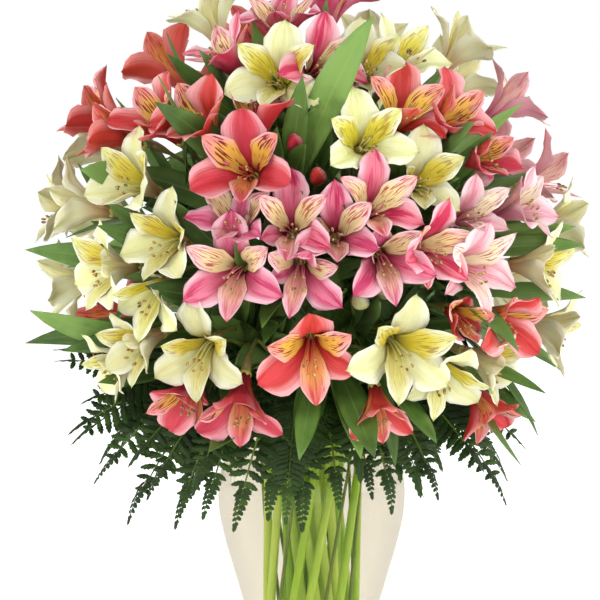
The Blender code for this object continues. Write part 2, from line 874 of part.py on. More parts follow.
def make_bud(bloom, pedicel):
    """A closed bud on its pedicel."""
    base, face = base_of(bloom)
    start = pedicel.path[-1]
    path = (*pedicel.path, *(start + face * along for along, _ in BUD_OUTLINE))
    radii = (*pedicel.radii, *(radius for _, radius in BUD_OUTLINE))
    bm = bmesh.new()
    top, _ = swept(bm, Limb(path, radii, 4).rings())
    point_out(bm, top, start + face * BUD_LENGTH)
    return bm


def hub_limb(umbel, stem):
    """The knob that an umbel's pedicels join, seated a gap above the top of its stem."""
    top = stem.path[-1]
    hub = hub_of(umbel)
    along = (hub - top).normalized()
    return Limb((top + along * GAP, hub, hub + along * HUB_RADIUS), HUB_RADII, STEM_SIDES)


def place_pedicels(space, umbel, hub_solid):
    """An umbel's hub and pedicels, which keep their room before any petal opens."""
    node = "blooms_" + umbel.name
    hub = hub_of(umbel)
    space.add((node, 0), hub_solid.shape())
    limbs = []
    for k, bloom in enumerate(umbel.blooms):
        label = (node, k + 1)
        pedicel = space.first_clear(label, pedicel_options(hub, bloom))
        if pedicel is None:
            print(node, "has no clear way for pedicel", k)
            pedicel = next(pedicel_options(hub, bloom))
        base, face = base_of(bloom)
        space.add(label, pedicel.shape())
        core = (pedicel.path[-1], base + face * CORE_HEIGHT)
        if bloom.bud:
            core = (pedicel.path[-1], pedicel.path[-1] + face * BUD_LENGTH)
        body = Limb(core, (PEDICEL_RADIUS, CORE_RADIUS), 6)
        found = space.hits(label, body.shape(GAP))
        if any(other != node for other, _ in found):
            print(node, "bloom", k, "has its core in", sorted(found))
        space.add(label, body.shape())
        limbs.append(pedicel)
    return limbs


def make_blooms(space, rng, umbel, hub_solid, pedicels):
    """An umbel as one body: its blooms and buds joined to the hub."""
    node = "blooms_" + umbel.name
    others = helpers("joined")
    for k, (bloom, pedicel) in enumerate(zip(umbel.blooms, pedicels)):
        roll = rng.uniform(-ROLL_SPREAD, ROLL_SPREAD)
        if bloom.bud:
            bm = make_bud(bloom, pedicel)
        else:
            bm = make_bloom(space, (node, k + 1), bloom, pedicel, roll)
        finished(bm, "bloom", umbel.colour, others)
    bm = bmesh.new()
    swept(bm, hub_solid.rings())
    combined(finished(bm, node, umbel.colour), others, "UNION")


@dataclass(frozen=True)
class Rib:
    """A frond's stalk and rib, with a cell for each pair of leaflets from first_cell on."""

    path: tuple
    half_widths: tuple
    first_cell: int = 3

    def frame(self, k):
        """The rib's direction, its level side and its upper side at its point k."""
        last = len(self.path) - 1
        along = (self.path[min(k + 1, last)] - self.path[max(k - 1, 0)]).normalized()
        radial = Vector((self.path[-1].x, self.path[-1].y, 0.0)).normalized()
        level = across(along, UP.cross(radial))
        return along, level, level.cross(along)

    def rings(self, swell=0.0):
        rings = []
        for k, (centre, width) in enumerate(zip(self.path, self.half_widths)):
            _, level, upper = self.frame(k)
            depth = min(width, RIB_HALF_DEPTH) + swell
            rings.append([
                centre + level * (s * (width + swell)) + upper * (f * depth)
                for s, f in ((-1, -1), (1, -1), (1, 1), (-1, 1))
            ])
        return rings

    def shape(self, swell=0.0):
        rings = self.rings(swell)
        return [p for ring in rings for p in ring], shell_faces(len(rings), 4)


def rib_options(frond, placed):
    """Ribs that arch over the rim and down to a frond's tip, low ones first."""
    ring, angle = placed[frond.name]
    foot, neck = foot_and_neck(ring, angle)
    tip = Vector(frond.tip)
    reach = math.hypot(tip.x, tip.y)
    rim = VASE_OUTLINE[-1][1]
    for over in RIM_CLEARANCES:
        near = polar(ring.neck + 5.0, angle, rim + over)
        far = polar(reach * 0.66, bearing(tip), rim + over + 2.0)
        curve = [neck, near, far, tip]
        shares = [0.12, BLADE_START]
        shares += [
            BLADE_START + (1.0 - BLADE_START) * (k + 1) / (PINNA_PAIRS + 1)
            for k in range(PINNA_PAIRS)
        ]
        path = (foot, neck, *(bezier(curve, share) for share in shares))
        widths = [RIB_HALF_WIDTH * (1.0 - 0.6 * share) for share in shares]
        yield Rib(path, (RIB_HALF_WIDTH, RIB_HALF_WIDTH, *widths))


def pinna_length(frond, share):
    """A leaflet's length at a share of the blade: longest near its base, then ever shorter."""
    return frond.half_width * (0.78 + 0.22 * min(1.0, share / 0.15)) * (1.0 - share) ** 0.8


def pinna_options(face, along, side, upper, length):
    """Leaflets on one face of the rib, level first, then lifted or lowered, or shorter."""
    corners = tuple(vert.co.copy() for vert in face.verts)
    centre = face.calc_center_median()
    sweep = math.radians(PINNA_SWEEP)

    def made(scale, swing):
        tilt = math.radians(swing)
        out = side * math.cos(tilt) + upper * math.sin(tilt)
        reach = out * math.cos(sweep) + along * math.sin(sweep)
        return Pinna(corners, centre + reach * length * scale)

    return swings(made)


def make_frond(space, frond, rib):
    """A frond: stalk, rib and a pair of leaflets on each cell of the rib."""
    label = (frond.name, 0)
    bm = bmesh.new()
    top, stretches = swept(bm, rib.rings())
    cells = stretches[rib.first_cell:]
    for k, sides in enumerate(cells):
        low, high = rib.path[rib.first_cell + k], rib.path[rib.first_cell + k + 1]
        along = (high - low).normalized()
        upper = rib.frame(rib.first_cell + k)[2]
        length = pinna_length(frond, k / len(cells))
        for face in (sides[1], sides[3]):
            side = across(along, face.calc_center_median() - (low + high) / 2)
            pinna = space.first_clear(label, pinna_options(face, along, side, upper, length))
            if pinna:
                space.add(label, pinna.shape())
                point_out(bm, face, pinna.tip)
    point_out(bm, top, Vector(frond.tip))
    finished(bm, frond.name, "fern")


def keep_way(space, node, options):
    """The first clear way for a stem or a rib, or the plainest one if none is clear."""
    limb = space.first_clear((node, 0), options())
    if limb is None:
        print(node, "has no clear way")
        limb = next(options())
    space.add((node, 0), limb.shape())
    return limb


def main():
    for old in list(bpy.data.objects):
        bpy.data.objects.remove(old)
    rng = random.Random(SEED)
    space = Space()
    make_vase(space)
    placed = stem_slots()
    stems = [
        keep_way(space, "stem_" + umbel.name, lambda umbel=umbel: stem_options(umbel, placed))
        for umbel in UMBELS
    ]
    ribs = [
        keep_way(space, frond.name, lambda frond=frond: rib_options(frond, placed))
        for frond in FRONDS
    ]
    hubs = [hub_limb(umbel, stem) for umbel, stem in zip(UMBELS, stems)]
    pedicels = [place_pedicels(space, umbel, hub) for umbel, hub in zip(UMBELS, hubs)]
    for umbel, hub, limbs in zip(UMBELS, hubs, pedicels):
        make_blooms(space, rng, umbel, hub, limbs)
    for umbel, stem in zip(UMBELS, stems):
        make_stem(space, rng, umbel, stem)
    for frond, rib in zip(FRONDS, ribs):
        make_frond(space, frond, rib)
    make_water([*stems, *ribs])


if __name__ == "__main__":
    main()
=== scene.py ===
"""The looks of a clear glass vase of mixed alstroemeria and leatherleaf fern.

The solids say where each stem, petal, leaf and leaflet grows. This script grows the same bouquet
again, finds out of the same choices the ones that each solid holds, and puts a fine piece in the
place of each: a ruffled petal for each petal, a veined leaf for each leaf, a divided leaflet for
each leaflet. Lengths are in millimetres until a mesh is written.
"""

from __future__ import annotations

import logging
import random
import sys
from collections.abc import Callable, Iterable, Iterator, Sequence
from dataclasses import dataclass, field, replace
from enum import Enum
from math import asin, atan2, copysign, cos, degrees, hypot, log, pi, radians, sin, sqrt
from typing import Any

import bpy
import numpy as np
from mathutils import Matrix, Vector
from mathutils.kdtree import KDTree

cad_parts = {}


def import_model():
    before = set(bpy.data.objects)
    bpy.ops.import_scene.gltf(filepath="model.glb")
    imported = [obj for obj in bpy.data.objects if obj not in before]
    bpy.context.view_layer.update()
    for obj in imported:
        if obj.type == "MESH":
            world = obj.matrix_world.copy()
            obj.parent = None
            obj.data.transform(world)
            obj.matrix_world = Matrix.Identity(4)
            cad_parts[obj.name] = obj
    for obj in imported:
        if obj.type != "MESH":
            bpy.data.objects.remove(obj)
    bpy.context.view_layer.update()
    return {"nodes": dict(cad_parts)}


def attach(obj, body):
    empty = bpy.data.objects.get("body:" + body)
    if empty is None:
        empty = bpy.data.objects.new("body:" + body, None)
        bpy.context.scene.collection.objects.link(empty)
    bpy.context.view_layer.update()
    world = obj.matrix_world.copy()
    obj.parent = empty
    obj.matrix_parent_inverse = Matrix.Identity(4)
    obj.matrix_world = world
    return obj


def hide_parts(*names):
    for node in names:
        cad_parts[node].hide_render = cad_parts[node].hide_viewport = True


LOG = logging.getLogger("bouquet")
MM = 0.001
BODY = "root"
SEED = 7
UP = Vector((0.0, 0.0, 1.0))

Object = bpy.types.Object
Material = bpy.types.Material
Socket = bpy.types.NodeSocket
Points = np.ndarray
Rgb = tuple[int, int, int]
Place = tuple[float, float, float]
Outline = Sequence[tuple[float, float]]

# The vase, as its solid has it
VASE_OUTLINE = (
    (41.0, 0.0), (39.6, 12.0), (39.6, 32.0), (43.0, 55.0), (50.0, 81.0), (58.5, 110.0),
    (62.8, 130.0), (63.4, 147.0), (60.0, 162.0), (50.0, 179.0), (44.6, 191.0), (48.0, 204.0),
)
VASE_WALL = 2.8
VASE_FLOOR = 8.0
WATER_LEVEL = 159.0
GAP = 0.4

# The dome of blooms and the point that the stems fan from
DOME_CENTRE = Vector((0.0, 0.0, 300.0))
DOME_RADII = Vector((172.0, 150.0, 172.0))
HEART = Vector((0.0, 0.0, 252.0))
HUB_DEPTH = 84.0

# Stems
STEM_SIDES = 5
STEM_FOOT_RADIUS = 2.7
STEM_TOP_RADIUS = 2.1
FOOT_LIFT = 1.0
NECK_HEIGHT = 188.0
WHORL_DROPS = (5.0, 22.0)
WHORL_HEIGHT = 3.5
LEAVES_PER_WHORL = (3, 2)

# Blooms
BLOOM_DEPTH = 30.0
CORE_RADIUS = 4.2
CORE_HEIGHT = 3.0
CORE_FACE = CORE_RADIUS * cos(pi / 6)
OVARY_LENGTH = 9.0
PEDICEL_RADIUS = 1.5
HUB_RADIUS = 4.0
ROLL_SPREAD = 14.0
PETAL_SECTOR = 0.52
OUTER_CLOCK = (90, 210, 330)
INNER_CLOCK = (30, 150, 270)
INNER_FLARE_SHARE = 0.74
PETAL_START = 8.0
BUD_LENGTH = 25.0

# Fronds
RIB_HALF_WIDTH = 1.2
RIB_HALF_DEPTH = 0.8
PINNA_PAIRS = 13
FIRST_CELL = 3
BLADE_START = 0.36
PINNA_SWEEP = 24.0
RIM_CLEARANCES = (24.0, 31.0, 37.0, 45.0, 19.0)

# What a petal, leaf, leaflet or pedicel tried in turn until it was clear of its neighbours
SWINGS = (0.0, -9.0, 9.0, -18.0, 18.0, -27.0, 27.0, -38.0, 38.0)
SCALES = (1.0, 0.86, 0.72, 0.58)
BENDS = (0.5, 0.3, 0.7, 0.12, 0.95)

# How close a corner of a solid is to the mark that it stands for
CORNER_TOLERANCE = 0.12


class Ring(Enum):
    """The rings that stems stand in, by radius at the feet, radius in the neck and turn between."""

    OUTER = (31.0, 35.5, 58.0)
    MIDDLE = (20.0, 21.5, -78.0)
    INNER = (8.2, 9.0, 80.0)


OUTER, MIDDLE, INNER = Ring
Slot = tuple[Ring, float]


class Colour(Enum):
    """The colours that the blooms come in."""

    CREAM = "cream"
    CORAL = "coral"
    PINK = "pink"
    PALE = "pale"


CREAM, CORAL, PINK, PALE = Colour


class Whorl(Enum):
    """Which of a bloom's petals one is. The value is how strongly it is marked."""

    OUTER = 0.0
    LOWER_INNER = 0.45
    UPPER_INNER = 1.0


@dataclass(frozen=True)
class BladeForm:
    """A petal's or a leaf's length, and its solid's half widths at shares of it."""

    length: float
    widths: tuple[tuple[float, float], ...]
    half_thickness: float = 0.4
    pointed: bool = True


OUTER_PETAL = BladeForm(47.0, ((0.68, 13.4), (0.98, 6.4)), pointed=False)
INNER_PETAL = BladeForm(46.0, ((0.64, 8.4),))
PLAIN_PETAL = BladeForm(46.0, ((0.72, 12.0),))
WHORL_LEAF = BladeForm(72.0, ((0.42, 7.4),), half_thickness=0.35)
LONG_LEAF = BladeForm(80.0, ((0.3, 6.8), (0.66, 7.2)), half_thickness=0.35)


@dataclass(frozen=True)
class Bloom:
    """One bloom, by where its middle is as seen from the front.

    turn and tip move its face, in degrees, to the right of and up from the dome's own outward
    direction. Its middle is on the front of the dome, or at the given depth, and sink moves it
    inwards.
    """

    x: float
    z: float
    turn: float = 0.0
    tip: float = 0.0
    size: float = 1.0
    flare: float = 76.0
    sink: float = 0.0
    depth: float | None = None
    bud: bool = False


@dataclass(frozen=True)
class Umbel:
    """One flowering stem: its colour, its ring in the neck, its blooms and its long leaves' tips."""

    name: str
    colour: Colour
    ring: Ring
    blooms: tuple[Bloom, ...]
    leaves: tuple[Place, ...] = ()


@dataclass(frozen=True)
class Frond:
    """One fern frond, by where its tip is."""

    name: str
    tip: Place
    half_width: float = 34.0


def around(level: float, rise: float, **more: Any) -> Bloom:
    """A bloom on the sides or the back of the dome.

    Args:
        level: Its bearing in degrees.
        rise: Its rise above the dome's middle in degrees.
        **more: Other fields of the bloom.

    Returns:
        The bloom, with its depth set.
    """
    level, rise = radians(level), radians(rise)
    x = DOME_RADII.x * cos(level) * cos(rise)
    depth = DOME_RADII.y * sin(level) * cos(rise)
    return Bloom(x, DOME_CENTRE.z + DOME_RADII.z * sin(rise), depth=depth, **more)


UMBELS = (
    Umbel("cream_top", CREAM, INNER, (Bloom(-23, 418, tip=-14, size=1.05, flare=84), around(172, 66)),
          ((-4, -126, 411), (-70, -84, 430))),
    Umbel("coral_upper_left", CORAL, MIDDLE, (
        Bloom(-42, 362, tip=2, size=1.08, flare=84), Bloom(-72, 390, turn=-12, tip=12, flare=78),
        Bloom(-36, 399, tip=40, flare=66, sink=6), Bloom(-12, 383, bud=True), Bloom(4, 360, bud=True),
    ), ((-98, -108, 414),)),
    Umbel("pink_left", PINK, MIDDLE, (
        Bloom(-50, 296, size=1.08, flare=88), Bloom(-48, 331, tip=30, flare=66),
        Bloom(-14, 326, tip=12, flare=70), Bloom(-8, 293, tip=-16, flare=72),
    )),
    Umbel("cream_lower_right", CREAM, OUTER, (
        Bloom(57, 245, tip=4, size=1.12, flare=86), Bloom(84, 222, tip=-22, flare=72),
        Bloom(116, 232, turn=24, flare=66, size=0.92), Bloom(34, 272, bud=True),
        Bloom(52, 279, bud=True),
    ), ((56, -124, 194),)),
    Umbel("coral_low", CORAL, OUTER, (
        Bloom(-1, 243, tip=-6, size=1.1, flare=86), Bloom(42, 203, tip=-24, flare=62, size=0.8),
    ), ((-8, -124, 182), (30, -122, 188))),
    Umbel("pink_centre", PINK, MIDDLE, (
        Bloom(14, 322, turn=-4, tip=10, flare=68), Bloom(40, 339, turn=6, tip=14, flare=74),
        Bloom(46, 303, tip=-6, flare=74), Bloom(76, 309, turn=14, flare=68),
    )),
    Umbel("cream_centre", CREAM, INNER, (
        Bloom(34, 377, tip=-4, size=1.02, flare=80), Bloom(68, 352, turn=-6, flare=86),
    )),
    Umbel("coral_upper_right", CORAL, MIDDLE, (
        Bloom(58, 396, tip=8, flare=80), Bloom(90, 392, turn=14, tip=6, flare=74),
        Bloom(110, 366, turn=10, flare=66, size=0.85),
    ), ((112, -84, 412),)),
    Umbel("pale_right", PALE, MIDDLE, (
        Bloom(104, 297, turn=10, size=1.1, flare=82), Bloom(100, 333, turn=-6, tip=12, flare=72),
        Bloom(136, 336, turn=12, tip=10, flare=68), Bloom(122, 356, bud=True),
    ), ((172, -40, 308),)),
    Umbel("cream_left", CREAM, MIDDLE, (
        Bloom(-116, 352, turn=-6, tip=6, flare=72), Bloom(-154, 332, turn=-34, tip=-4, flare=66),
        Bloom(-94, 314, turn=-6, flare=82), Bloom(-134, 294, turn=-14, flare=78),
        Bloom(-105, 277, turn=-6, tip=-16, flare=72),
    ), ((-186, -34, 314),)),
    Umbel("pink_crown", PINK, INNER, (
        Bloom(-20, 455, tip=10, flare=74), Bloom(-56, 432, turn=-34, tip=8, flare=66),
        Bloom(6, 424, turn=14, tip=-18, flare=70), around(70, 78),
    ), ((35, -58, 460), (-92, -50, 428))),
    Umbel("cream_crown", CREAM, INNER, (
        Bloom(34, 424, tip=-6, flare=78), Bloom(60, 430, turn=24, tip=4, flare=66),
        around(-2, 54, flare=72),
    ), ((96, -40, 440),)),
    Umbel("coral_far_left", CORAL, MIDDLE, (
        Bloom(-132, 381, turn=-30, tip=-8, flare=66), Bloom(-100, 390, turn=-10, tip=6, flare=70),
        around(178, 32, flare=70),
    ), ((-126, -56, 404), (-160, -66, 356))),
    Umbel("cream_lower_left", CREAM, OUTER, (
        Bloom(-72, 243, tip=2, flare=84), Bloom(-128, 230, turn=-20, tip=-6, flare=62, size=0.86),
        Bloom(-112, 246, turn=-8, flare=68, size=0.9),
    ), ((-184, -44, 262),)),
    Umbel("coral_low_left", CORAL, OUTER, (
        Bloom(-46, 205, tip=-26, flare=70), Bloom(-80, 209, turn=-6, tip=-20, flare=66, size=0.92),
    )),
    Umbel("coral_right", CORAL, OUTER, (
        Bloom(126, 260, turn=10, flare=80), Bloom(96, 264, turn=-4, flare=70, size=0.9),
        Bloom(112, 200, tip=-18, flare=62, size=0.85),
    ), ((146, -72, 216), (132, -112, 250))),
    Umbel("cream_far_right", CREAM, OUTER, (
        Bloom(150, 294, turn=12, flare=76), around(4, 6, flare=72), around(-6, -18, flare=70),
    ), ((176, -30, 271), (134, -56, 172))),
    Umbel("coral_back_top", CORAL, INNER, (around(112, 57), around(146, 46), around(118, 35)),
          ((-66, 104, 440),)),
    Umbel("cream_back_top", CREAM, MIDDLE, (
        around(66, 54, flare=80), around(38, 42), around(76, 33, flare=78),
    ), ((60, 118, 420),)),
    Umbel("pale_back", PALE, MIDDLE, (around(12, 36), around(34, 20), around(12, 16)),
          ((160, 68, 372),)),
    Umbel("pink_back", PINK, MIDDLE, (around(108, 14), around(92, 26), around(76, 12), around(93, 0)),
          ((2, 160, 266),)),
    Umbel("cream_back_left", CREAM, MIDDLE, (
        around(179, 10), around(158, 24), around(146, 8), around(166, -8, flare=72),
    ), ((-172, 66, 346),)),
    Umbel("coral_back_low", CORAL, OUTER, (around(126, -8), around(147, -18), around(110, -22, tip=-8)),
          ((-128, 104, 226),)),
    Umbel("cream_back_low", CREAM, OUTER, (
        around(54, -2), around(34, -10), around(62, -23, flare=72), around(84, -20, flare=72),
    ), ((140, 84, 250),)),
)

FRONDS = (
    Frond("fern_far_left", (-166, -30, 238)),
    Frond("fern_left", (-136, -46, 166), half_width=40.0),
    Frond("fern_front_left", (-82, -80, 140), half_width=40.0),
    Frond("fern_front", (-16, -106, 138), half_width=32.0),
    Frond("fern_front_right", (70, -88, 150), half_width=38.0),
    Frond("fern_right", (126, -36, 154), half_width=40.0),
    Frond("fern_back_right", (88, 84, 146), half_width=40.0),
    Frond("fern_back", (-6, 114, 142), half_width=40.0),
    Frond("fern_back_left", (-98, 74, 150), half_width=40.0),
)


def across(direction: Vector, towards: Vector) -> Vector:
    """A unit vector square to direction, on the side that towards points to."""
    side = towards - direction * towards.dot(direction)
    if side.length < 0.05 * towards.length:
        side = direction.orthogonal()
    return side.normalized()


def polar(radius: float, level: float, height: float) -> Vector:
    """A point by its radius and bearing about the vase's axis, and its height."""
    angle = radians(level)
    return Vector((radius * cos(angle), radius * sin(angle), height))


def bearing(point: Vector) -> float:
    """A point's bearing about the vase's axis, in degrees."""
    return degrees(atan2(point.y, point.x))


def bezier(points: Sequence[Vector], share: float) -> Vector:
    """A point on the Bezier curve of any number of control points."""
    points = list(points)
    while len(points) > 1:
        points = [a.lerp(b, share) for a, b in zip(points, points[1:])]
    return points[0]


def swings(make: Callable[[float, float], Any]) -> Iterator[Any]:
    """What make gives for each scale and swing, in the order the solid tried them."""
    return (make(scale, swing) for scale in SCALES for swing in SWINGS)


@dataclass(frozen=True)
class Limb:
    """A round stem along a path, with a radius at each of its points."""

    path: tuple[Vector, ...]
    radii: tuple[float, ...]
    sides: int

    def direction(self, k: int) -> Vector:
        """The path's direction at its point k."""
        last = len(self.path) - 1
        return (self.path[min(k + 1, last)] - self.path[max(k - 1, 0)]).normalized()

    def rings(self) -> list[list[Vector]]:
        """The corners of the solid, ring by ring."""
        rings = []
        side = Vector((1.0, 0.0, 0.0))
        for k, (centre, radius) in enumerate(zip(self.path, self.radii)):
            along = self.direction(k)
            side = across(along, side)
            other = along.cross(side)
            spokes = [2 * pi * corner / self.sides for corner in range(self.sides)]
            rings.append([centre + (side * cos(a) + other * sin(a)) * radius for a in spokes])
        return rings

    def marks(self) -> list[Vector]:
        """Corners of the solid that tell this limb from the other choices."""
        return [corner for ring in self.rings()[3:6] for corner in ring]


@dataclass(frozen=True)
class Blade:
    """A flat blade whose midline is an arc, from angles[0] to angles[1] off its axis."""

    form: BladeForm
    root: Vector
    axis: Vector
    outward: Vector
    angles: tuple[float, float]
    scale: float = 1.0
    sector: float = 0.0

    def midline(self, share: float) -> tuple[Vector, Vector]:
        """A point on the midline, and the midline's direction there."""
        start, end = (radians(angle) for angle in self.angles)
        turn = end - start if abs(end - start) > 0.01 else 0.01
        angle = start + turn * share
        radius = self.form.length * self.scale / turn
        out = radius * (cos(start) - cos(angle))
        along = radius * (sin(angle) - sin(start))
        point = self.root + self.outward * out + self.axis * along
        return point, self.axis * cos(angle) + self.outward * sin(angle)

    def marks(self) -> list[Vector]:
        """The solid's corners and its tip."""
        side = self.axis.cross(self.outward).normalized()
        marks = []
        for share, width in self.form.widths:
            centre, along = self.midline(share)
            half = width * self.scale
            if self.sector:
                half = min(half, self.sector * ((centre - self.root).dot(self.outward) + CORE_FACE))
            inner = along.cross(side) * self.form.half_thickness
            marks += [centre + side * (s * half) + inner * f for s in (-1, 1) for f in (-1, 1)]
        if self.form.pointed:
            marks.append(self.midline(1.0)[0])
        return marks


@dataclass(frozen=True)
class Pinna:
    """A pointed leaflet on one cell of a frond's rib."""

    root: Vector
    tip: Vector
    upper: Vector

    def marks(self) -> list[Vector]:
        """The leaflet's tip, which is a corner of its solid."""
        return [self.tip]


@dataclass(frozen=True)
class Rib:
    """A frond's stalk and rib, with a cell for each pair of leaflets from FIRST_CELL on."""

    path: tuple[Vector, ...]
    half_widths: tuple[float, ...]

    def frame(self, k: int) -> tuple[Vector, Vector, Vector]:
        """The rib's direction, its level side and its upper side at its point k."""
        last = len(self.path) - 1
        along = (self.path[min(k + 1, last)] - self.path[max(k - 1, 0)]).normalized()
        radial = Vector((self.path[-1].x, self.path[-1].y, 0.0)).normalized()
        level = across(along, UP.cross(radial))
        return along, level, level.cross(along)

    def rings(self) -> list[list[Vector]]:
        """The corners of the rib's solid, ring by ring."""
        rings = []
        for k, (centre, width) in enumerate(zip(self.path, self.half_widths)):
            _, level, upper = self.frame(k)
            depth = min(width, RIB_HALF_DEPTH)
            rings.append([
                centre + level * (s * width) + upper * (f * depth)
                for s, f in ((-1, -1), (1, -1), (1, 1), (-1, 1))
            ])
        return rings

    def marks(self) -> list[Vector]:
        """Corners of the solid that tell this rib from the other choices."""
        return [corner for ring in self.rings()[3:8] for corner in ring]


class Corners:
    """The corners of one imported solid, which tell the choice that it holds from the others."""

    def __init__(self, node: Object) -> None:
        """Reads the corners of a CAD node, in millimetres."""
        corners = node.data.vertices
        self.tree = KDTree(len(corners))
        for k, vertex in enumerate(corners):
            self.tree.insert(vertex.co / MM, k)
        self.tree.balance()

    def share(self, option: Any) -> float:
        """How many of an option's marks are corners of the solid, as a share of them."""
        marks = option.marks()
        held = sum(self.tree.find(mark)[2] < CORNER_TOLERANCE for mark in marks)
        return held / len(marks)

    def pick(self, options: Iterable[Any], least: float = 0.5) -> Any | None:
        """The option that the solid holds, or None.

        Args:
            options: The choices, each with marks.
            least: The share of its marks that have to be corners of the solid.

        Returns:
            The option with the largest share of its marks on corners, if that is enough.
        """
        best, most = None, 0.0
        for option in options:
            share = self.share(option)
            if share > most:
                best, most = option, share
            if most == 1.0:
                break
        return best if most >= least else None


def middle_of(bloom: Bloom) -> tuple[Vector, Vector]:
    """Where a bloom's middle is, and the direction that its face looks in."""
    share = Vector((bloom.x / DOME_RADII.x, 0.0, (bloom.z - DOME_CENTRE.z) / DOME_RADII.z))
    depth = DOME_RADII.y * sqrt(max(0.0, 1.0 - share.length_squared))
    point = Vector((bloom.x, -depth if bloom.depth is None else bloom.depth, bloom.z))
    offset = point - DOME_CENTRE
    out = Vector([offset[i] / DOME_RADII[i] ** 2 for i in range(3)]).normalized()
    level = radians(bearing(out) + bloom.turn)
    rise = asin(out.z) + radians(bloom.tip)
    rise = max(-1.45, min(1.45, rise))
    face = Vector((cos(level) * cos(rise), sin(level) * cos(rise), sin(rise)))
    return point - out * bloom.sink, face


def base_of(bloom: Bloom) -> tuple[Vector, Vector]:
    """Where a bloom's core begins, above its ovary, and the direction that its face looks in."""
    middle, face = middle_of(bloom)
    return middle - face * BLOOM_DEPTH * bloom.size, face


def hub_of(umbel: Umbel) -> Vector:
    """Where an umbel's hub is: inwards from the mean of its blooms, towards the heart."""
    middles = [middle_of(bloom)[0] for bloom in umbel.blooms]
    mean = sum(middles, Vector()) / len(middles)
    return mean + (HEART - mean).normalized() * HUB_DEPTH


def stem_slots() -> dict[str, Slot]:
    """Each stem's ring and its bearing in the neck, spread evenly in the order of their bearings."""
    wanted = [(umbel.name, umbel.ring, bearing(hub_of(umbel))) for umbel in UMBELS]
    wanted += [(frond.name, OUTER, bearing(Vector(frond.tip))) for frond in FRONDS]
    placed = {}
    for ring in Ring:
        members = sorted((angle % 360.0, name) for name, slots, angle in wanted if slots is ring)
        step = 360.0 / len(members)
        drift = [radians(angle - k * step) for k, (angle, _) in enumerate(members)]
        start = degrees(atan2(sum(map(sin, drift)), sum(map(cos, drift))))
        for k, (_, name) in enumerate(members):
            placed[name] = (ring, start + k * step)
    return placed


def foot_and_neck(slot: Slot) -> tuple[Vector, Vector]:
    """The two ends of a stem's straight stretch in the vase."""
    ring, angle = slot
    foot_radius, neck_radius, twist = ring.value
    foot = polar(foot_radius, angle - twist, VASE_FLOOR + FOOT_LIFT)
    return foot, polar(neck_radius, angle, NECK_HEIGHT)


def stem_options(umbel: Umbel, slot: Slot) -> Iterator[Limb]:
    """The stems that would reach an umbel's hub, from the plainest curve on.

    Args:
        umbel: What the stem carries.
        slot: The ring that it stands in, and its bearing in the neck.

    Returns:
        The stems.
    """
    foot, neck = foot_and_neck(slot)
    hub = hub_of(umbel)
    rise = (neck - foot).normalized()
    for bend in BENDS:
        knee = neck + rise * (hub - neck).length * bend
        curve = [neck, knee, hub]
        length = (hub - knee).length + (knee - neck).length
        top = 1.0 - (HUB_RADIUS + GAP) / length
        leafy = [
            top - drop / length
            for whorl in reversed(WHORL_DROPS) for drop in (whorl + WHORL_HEIGHT, whorl)
        ]
        shares = [leafy[0] / 2, *leafy, top]
        path = (foot, neck, *(bezier(curve, share) for share in shares))
        spread = STEM_FOOT_RADIUS - STEM_TOP_RADIUS
        radii = (STEM_FOOT_RADIUS, STEM_FOOT_RADIUS, *(
            STEM_FOOT_RADIUS - spread * share for share in shares
        ))
        yield Limb(path, radii, STEM_SIDES)


@dataclass(frozen=True)
class Face:
    """One side of a whorl's stretch of stem."""

    centre: Vector
    normal: Vector


def whorl_faces(limb: Limb, stretch: int) -> list[Face]:
    """The sides of one stretch of a stem's solid, in the order of its corners."""
    low, high = limb.rings()[stretch:stretch + 2]
    faces = []
    for k in range(limb.sides):
        n = (k + 1) % limb.sides
        centre = (low[k] + low[n] + high[n] + high[k]) / 4
        normal = (low[n] - low[k]).cross(high[k] - low[k]).normalized()
        faces.append(Face(centre, normal))
    return faces


def aimed_leaves(face: Face, axis: Vector, target: Vector) -> Iterator[Blade]:
    """Long leaves from a face of a whorl that end at a target, then ones that end beside it.

    Args:
        face: The side of the stem that the leaf grows on.
        axis: The stem's direction there.
        target: Where the leaf's tip should be.

    Returns:
        The leaves.
    """
    outward = across(axis, target - face.centre)
    chord = target - face.centre
    middle = degrees(chord.angle(axis))
    bend = 18.0
    size = chord.length / LONG_LEAF.length
    return swings(lambda scale, swing: Blade(
        LONG_LEAF, face.centre, axis, outward,
        (middle - bend + swing, middle + bend + swing), size * scale,
    ))


def whorl_leaves(face: Face, axis: Vector, lean: float) -> Iterator[Blade]:
    """Leaves that rise from a face of a whorl and arch outwards."""
    outward = across(axis, face.normal)
    return swings(lambda scale, swing: Blade(
        WHORL_LEAF, face.centre, axis, outward, (38.0 + lean + swing, 92.0 + lean + swing), scale
    ))


@dataclass(frozen=True)
class Pedicel(Limb):
    """A bloom's stalk, whose solid is three-sided."""

    up: Vector = field(default_factory=Vector)
    right: Vector = field(default_factory=Vector)
    roll: float = 0.0

    def marks(self) -> list[Vector]:
        """The corners of the solid at the middle of the path."""
        turn = self.direction(2).rotation_difference(self.direction(1))
        marks = []
        for clock in (30.0, 150.0, 270.0):
            angle = radians(clock + self.roll)
            spoke = self.right * cos(angle) + self.up * sin(angle)
            corner = spoke * (PEDICEL_RADIUS * cos(pi / 6))
            marks.append(self.path[1] + turn @ corner)
        return marks


def face_frame(face: Vector) -> tuple[Vector, Vector]:
    """The directions that are up and right on a bloom's face, seen from in front of it."""
    up = across(face, UP)
    return up, up.cross(face)


